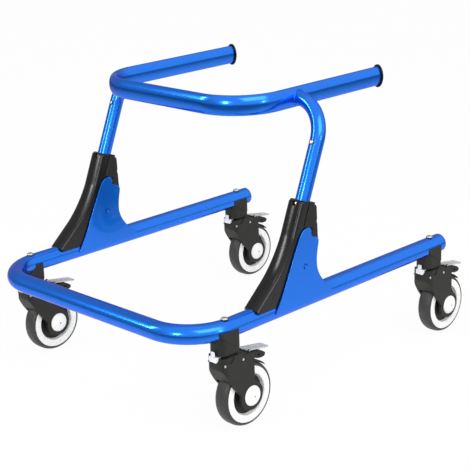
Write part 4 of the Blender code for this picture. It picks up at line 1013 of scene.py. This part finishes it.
below, above = WHEEL_RADIUS + 1.9, WHEEL_RADIUS + 3.2
first = math.pi / 2 + math.asin((TRAIL - 12) / below)
last = math.pi / 2 - math.radians(47)
strip = prism(arc(below, first, last, 36) + arc(above, last, first, 36), -12.5, 12.5)
for corner in CORNERS:
    piece(f"{corner}_fork_moulding", fork, places[corner], f"{corner}_fork", grained_black,
          replaces=f"{corner}_fork", round_edges=0.45, segments=3)
    piece(f"{corner}_guard_strip", strip, places[corner], f"{corner}_fork", matt_black,
          round_edges=0.3)
print("strip over the tyre:", len(strip.polygons), "faces")

# %% [markdown]
# ### The wheel
# A white ring stands out round a dark, recessed web, and the tyre's shoulders are rounded over it.
# Each is a closed profile turned round X: half of it is drawn and mirrored, so the wheel is the same
# on both faces. The tyre carries the faint line where its mould parts.

# %% The wheel
def both_faces(half):
    """A profile of (radius, X, rounding) with its mirror image in X."""
    return [(corner[0], -corner[1], *corner[2:]) for corner in reversed(half)] + half


rim_radius = WHEEL_RADIUS - 7.8
white_ring = turned(both_faces([
    (rim_radius - 3.5, 12.9), (rim_radius, 12.9, 0.3), (rim_radius, 15.9, 1.2), (41, 15.9, 1.6),
    (39.6, 9.5, 1), (39.0, 9.0),
]), "X", 128)
web = turned(both_faces([
    (rim_radius - 3.6, 8.6), (39.2, 8.6), (38.6, 7.6, 1), (19, 7.6, 2), (14, 16.9, 1.5), (5.3, 16.9),
]), "X", 96)
tread = turned(both_faces([
    (WHEEL_RADIUS - 11, 12.6), (rim_radius + 0.2, 12.6), (rim_radius + 0.2, 16, 0.8), (58.5, 16, 2.4),
    (WHEEL_RADIUS - 0.1, 10.5, 5.2), (WHEEL_RADIUS - 0.1, 0.6), (WHEEL_RADIUS, 0.35),
]), "X", 128)
hub_cap = turned([
    (0, 23.8), (20, 23.8), (20, 25.0, 0.8), (17.5, 28.6, 4), (9, 30.9, 4), (0, 31),
], "X", 64)
# The matt black disc on each cap's crown is painted shade: it stands for the shadow inside the cap's small
# central recess.
painted_shade_dot = turned([(0, 30.6), (1.7, 30.6), (1.7, 31.05, 0.2), (0, 31.05)], "X", 24)
shank = rod(5, -23.8, 23.8, "X", 32)
for corner in CORNERS:
    at = places[corner] @ Matrix.Translation((0, TRAIL * MM, WHEEL_RADIUS * MM))
    wheel, fork_body = f"{corner}_wheel", f"{corner}_fork"
    piece(f"{corner}_white_ring", white_ring, at, wheel, wheel_white,
          replaces=f"{corner}_rim")
    piece(f"{corner}_web", web, at, wheel, grained_black)
    piece(f"{corner}_tread", tread, at, wheel, rubber, replaces=f"{corner}_tyre")
    piece(f"{corner}_axle_shank", shank, at, fork_body, plain_steel,
          replaces=f"{corner}_axle")
    for facing, turn in (("left", 0), ("right", math.pi)):
        outward = at @ Matrix.Rotation(turn, 4, "Z")
        piece(f"{corner}_hub_cap_{facing}", hub_cap, outward, fork_body, wheel_white)
        piece(f"{corner}_hub_shade_dot_{facing}", painted_shade_dot, outward, fork_body, matt_black)
print("tread", len(tread.polygons), "faces, ring", len(white_ring.polygons), "faces")

# %% [markdown]
# ### The levers
# The brake pedal is a channel that straddles the strip over the tyre and turns on a pin through the
# fork's legs. Its outline is drawn from the side with every corner rounded, and a round shoe shape,
# ribs across its tread and a cross hole near its tip are cut. The pale lever is a thin plate on a
# barrel between the fork's ears. The white tab has a narrow neck over a wider foot. The tab's pin
# comes out through the fork's rounded corner, so its length follows from that rounding.

# %% The brake pedal
y, z = PEDAL_PIN
pedal_side = prism([
    (y - 3.6, z - 3.6, 3), (y - 3.6, z + 3.6, 3), (y + 3, z + 3.6, 1.5),
    (52, deck_height(52) - 3.3, 2), (y + 39, z + 2.5, 4), (y + 55, z - 1, 6), (y + 62, z - 4.8, 4),
    (y + 69, z - 10.5, 2), (y + 64, z - 15.8, 2.6), (y + 51, z - 16.2, 5), (y + 37, z - 11, 6),
    (y + 22, z - 8.7, 5), (y + 7, z - 8.5, 4),
], -15, 15)
shoe = moved(rod(WHEEL_RADIUS + 10.3, -12.8, 12.8, "X", 128), y=TRAIL, z=WHEEL_RADIUS)
tip_plan = plan_prism([(15, -10), (15, 96, 4), (-15, 96, 4), (-15, -10)], 0, 200, 8)
tip_plan.transform(Matrix.Translation((0, -3.6 * MM, 0)))
tread_ribs = []
for row in range(5):
    along, drop = 44 + 4.2 * row, 0.2 + 0.32 * row**1.5
    tread_ribs.append(moved(slab(0, 0, 1.5, 5, -11, 11), y=y + along, z=z + 1.0 - drop))
peg_hole = moved(rod(2.3, -40, 40, "X"), y=y + 50, z=z - 8.3)
pedal = carved(carved(pedal_side, [tip_plan], "INTERSECT"), [shoe, peg_hole, *tread_ribs])

# %% The lever pins and the two tabs
def headed_pin(radius, head, half, sides=24):
    """A pin along X with a low domed head at each end."""
    return turned(both_faces([
        (radius, half), (head, half, 0.1), (head, half + 0.9, 0.6), (0, half + 0.9)
    ]), "X", sides)


y, z = TAB_PIN
tab_arm = prism([
    (y - 2.3, z - 2.3, 2), (y + 2.3, z - 2.3, 2), (y + 2.3, z + 1, 1), (-20.6, FORK_TOP - 0.5, 1),
    (-21, 158.2, 1.2), (-31.6, 158.6, 0.5), (-32, 170, 1), (-34, 170, 1), (-35, 159.6, 1), (-35, 149.4, 1.2),
    (-31, 149.4, 0.8), (-30.4, 151, 0.4), (-24.8, 150.6, 0.5), (-24.8, z - 1, 1),
], -8.5, 8.5)
tab = carved(tab_arm, [slab(-40, 160.4, -20, 175, low, low + 7.7) for low in (4.3, -12)])
y, z = DRAG_PIN
slope = math.atan2(2 * WHEEL_RADIUS + 13.4 - z, 106 - y)
length = (106 - y) / math.cos(slope)
flap = prism([(0, -1.25), (length, -1.25, 1.2), (length, 1.25, 1.2), (0, 1.25)], -12, 12)
flap_plan = plan_prism([(12, -4), (12, length, 6), (-12, length, 6), (-12, -4)], -20, 20, 8)
barrel = rod(2, -12, 12, "X", 32)
window = plan_prism([
    (6.5, 20, 2.5), (6.5, length - 12, 2.5), (-6.5, length - 12, 2.5), (-6.5, 20, 2.5),
], 0.7, 9)
flap = carved(carved(carved(flap, [flap_plan], "INTERSECT"), [window]), [barrel], "UNION")
flap.transform(Matrix.Translation((0, y * MM, z * MM)) @ Matrix.Rotation(slope, 4, "X"))
pedal_axle = moved(headed_pin(1.8, 2.7, FORK_HALF - 0.9), y=PEDAL_PIN[0], z=PEDAL_PIN[1])
off_centre = TAB_PIN[0] - (FORK_FRONT + FORK_ROUND)
wall = FORK_HALF - FORK_ROUND + math.sqrt(FORK_ROUND**2 - off_centre**2)
tab_axle = moved(headed_pin(1.8, 2.7, wall - 0.5), y=TAB_PIN[0], z=TAB_PIN[1])
flap_axle = moved(headed_pin(1.1, 1.7, 14.8, 16), y=DRAG_PIN[0], z=DRAG_PIN[1])
LEVERS = [
    ("pedal", pedal, "brake_pedal", matt_black, 0.35),
    ("pedal_pin", pedal_axle, "brake_pedal", bright_steel, 0),
    ("lock_tab", tab, "swivel_tab", tab_white, 0.4),
    ("tab_pin", tab_axle, "swivel_tab", bright_steel, 0),
    ("flap", flap, "drag_tab", pale_grey, 0.3),
    ("flap_pin", flap_axle, "drag_tab", bright_steel, 0),
]
for corner in CORNERS:
    for name, mesh, lever, material, edges in LEVERS:
        node = f"{corner}_{lever}"
        piece(f"{corner}_{name}", mesh, places[corner], node, material,
              replaces=node if edges else "", round_edges=edges)
print("levers:", {name: len(mesh.polygons) for name, mesh, *_ in LEVERS}, "faces")

# %% [markdown]
# ## Floor, light and camera
# The photograph was taken on white paper. A pale floor with a faint shadow comes from mixing a
# plain diffuse floor with white for the rays that the camera sends, so the object isn't lit by it
# any more than by a real sheet. For the rays that the lacquer mirrors, the floor's white is painted
# light and shade: bright near the object, dimmer far off and to the front, where the paper lay in
# shade. That is why the front of the handlebar is navy. The floor is marked as stage, because it
# isn't part of the object.

# %% The floor
floor_mesh = bpy.data.meshes.new("floor")
shape = bmesh.new()
bmesh.ops.create_grid(shape, x_segments=1, y_segments=1, size=12)
shape.to_mesh(floor_mesh)
shape.free()
floor = bpy.data.objects.new("floor", floor_mesh)
bpy.context.scene.collection.objects.link(floor)
paper = bpy.data.materials.new("white_paper")
paper.use_nodes = True
tree = paper.node_tree
shader = tree.nodes["Principled BSDF"]
shader.inputs["Base Color"].default_value = (0.86, 0.86, 0.87, 1)
shader.inputs["Roughness"].default_value = 0.9
shader.inputs["Specular IOR Level"].default_value = 0.1
# The level below is painted light and shade for mirrored rays: brighter to the rear and near the object,
# dimmer far off and to the front.
where = new_node(tree, "TexCoord", {}).outputs["Object"]
rearward = new_node(tree, "VectorMath", {0: where, 1: (-0.5, 0.87, 0)}, operation="DOT_PRODUCT")
lit = math_node(tree, "MULTIPLY", rearward.outputs["Value"], 1.3)
lit = math_node(tree, "ADD", lit, 1.6, clamp=True)
away = new_node(tree, "VectorMath", {0: where}, operation="LENGTH").outputs["Value"]
spread = math_node(tree, "ADD", math_node(tree, "MULTIPLY", math_node(tree, "POWER", away, 2), 0.3), 1.0)
level = math_node(tree, "ADD", math_node(tree, "MULTIPLY", lit, 0.9), 0.2)
level = math_node(tree, "DIVIDE", level, spread, clamp=True)
rays = new_node(tree, "LightPath", {})
seen = math_node(tree, "MAXIMUM", rays.outputs["Is Camera Ray"], rays.outputs["Is Transmission Ray"])
shown = math_node(tree, "MULTIPLY", math_node(tree, "MAXIMUM", seen, rays.outputs["Is Glossy Ray"]), 0.95)
white = new_node(tree, "Emission", {
    "Color": (1, 1, 1, 1), "Strength": math_node(tree, "MAXIMUM", seen, level),
})
blend = new_node(tree, "MixShader", {"Fac": shown, 1: shader.outputs["BSDF"], 2: white.outputs["Emission"]})
tree.links.new(blend.outputs["Shader"], tree.nodes["Material Output"].inputs["Surface"])
floor_mesh.materials.append(paper)
floor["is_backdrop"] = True
print("floor", floor.dimensions.x, "m square")

# %% [markdown]
# The studio is a white sweep behind the object and a darker room to the left of the camera: the
# lacquer's front faces are deep navy in the photograph, and its right-hand faces clear azure, and
# that comes from what each side reflects. So the world is pure white where the camera looks, and a
# gradient by direction for everything else, bright towards the right and above, dim at the left.

# %% The world
world = bpy.data.worlds.new("studio")
bpy.context.scene.world = world
world.use_nodes = True
tree = world.node_tree
room = tree.nodes["Background"]
where = new_node(tree, "TexCoord", {}).outputs["Generated"]
bright_side = Vector((0.75, -0.1, 0.6)).normalized()
facing = new_node(tree, "VectorMath", {0: where, 1: bright_side}, operation="DOT_PRODUCT")
half_turn = math_node(tree, "MULTIPLY", facing.outputs["Value"], 0.5)
ramp = new_node(tree, "ValToRGB", {"Fac": math_node(tree, "ADD", half_turn, 0.5)})
greys = ((0.25, (0.31, 0.31, 0.32)), (0.50, (0.44, 0.44, 0.45)), (0.72, (1, 1, 1)))
stops = ramp.color_ramp.elements
stops.new(0.50)
for stop, (position, grey) in zip(stops, greys):
    stop.position = position
    stop.color = (*grey, 1)
tree.links.new(ramp.outputs["Color"], room.inputs["Color"])
room.inputs["Strength"].default_value = 1.0
sweep = new_node(tree, "Background", {"Color": (1, 1, 1, 1)})
rays = new_node(tree, "LightPath", {})
seen = math_node(tree, "MAXIMUM", rays.outputs["Is Camera Ray"], rays.outputs["Is Transmission Ray"])
mirrored = math_node(tree, "MULTIPLY", rays.outputs["Is Glossy Ray"], 0.12)
blend = new_node(tree, "MixShader", {
    "Fac": math_node(tree, "MAXIMUM", seen, mirrored),
    1: room.outputs["Background"], 2: sweep.outputs["Background"],
})
tree.links.new(blend.outputs["Shader"], tree.nodes["World Output"].inputs["Surface"])
print("world strength", room.inputs["Strength"].default_value)

# %% [markdown]
# Four area lamps are the softboxes: a large one at the right that models the tubes, a tall narrow
# one at the front left whose streak runs down the uprights and the covers, a window at the front
# right that draws the highlights on the bends, and a small one at the far right that glints on the
# tubes' sides.

# %% The lamps
def softbox(name, location, target, width, height, power):
    """A rectangular lamp that faces a point."""
    lamp = bpy.data.lights.new(name, "AREA")
    lamp.shape = "RECTANGLE"
    lamp.size = width
    lamp.size_y = height
    lamp.energy = power
    made = bpy.data.objects.new(name, lamp)
    bpy.context.scene.collection.objects.link(made)
    turn = (Vector(target) - Vector(location)).to_track_quat("-Z", "Y")
    made.matrix_world = Matrix.Translation(location) @ turn.to_matrix().to_4x4()
    return made


softbox("key", (2.3, -0.5, 2.4), (0, 0, 0.3), 2.4, 1.8, 34)
softbox("streak", (-1.5, -2.0, 1.75), (0, 0, 0.3), 0.32, 1.2, 17)
softbox("window", (0.85, -2.65, 1.2), (0, -0.1, 0.4), 0.5, 0.65, 16)
softbox("glint", (2.85, 0.1, 0.95), (0, -0.1, 0.4), 0.3, 0.4, 4)

# %% [markdown]
# The camera stands where the photographer's did. Its place came from fitting the outlines of the
# tubes and casters: 45 degrees round to the right, 18 degrees up, almost three metres away, with a
# long lens and the slight roll of a hand-held shot.

# %% The camera
AZIMUTH, ELEVATION, ROLL = (math.radians(angle) for angle in (44.748, 17.874, -1.703))
TARGET = Vector((-0.39, 12.105, 244.74)) * MM
DISTANCE = 2871.1 * MM
back = Vector((
    math.sin(AZIMUTH) * math.cos(ELEVATION), -math.cos(AZIMUTH) * math.cos(ELEVATION), math.sin(ELEVATION)
))
right = Vector((math.cos(AZIMUTH), math.sin(AZIMUTH), 0))
up = back.cross(right)
rolled_right = math.cos(ROLL) * right + math.sin(ROLL) * up
rolled_up = math.cos(ROLL) * up - math.sin(ROLL) * right
lens = bpy.data.cameras.new("camera")
lens.lens = 103.34
lens.sensor_width = 36
camera = bpy.data.objects.new("camera", lens)
bpy.context.scene.collection.objects.link(camera)
turn = Matrix((rolled_right, rolled_up, back)).transposed().to_4x4()
camera.matrix_world = Matrix.Translation(TARGET + back * DISTANCE) @ turn
bpy.context.scene.camera = camera
bpy.context.scene.view_settings.view_transform = "Standard"
print("camera at", [round(value, 3) for value in camera.matrix_world.translation])

# %% Sizes and finish
low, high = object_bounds()
print("dressed model:", [round(1000 * (b - a), 1) for a, b in zip(low, high)], "mm")
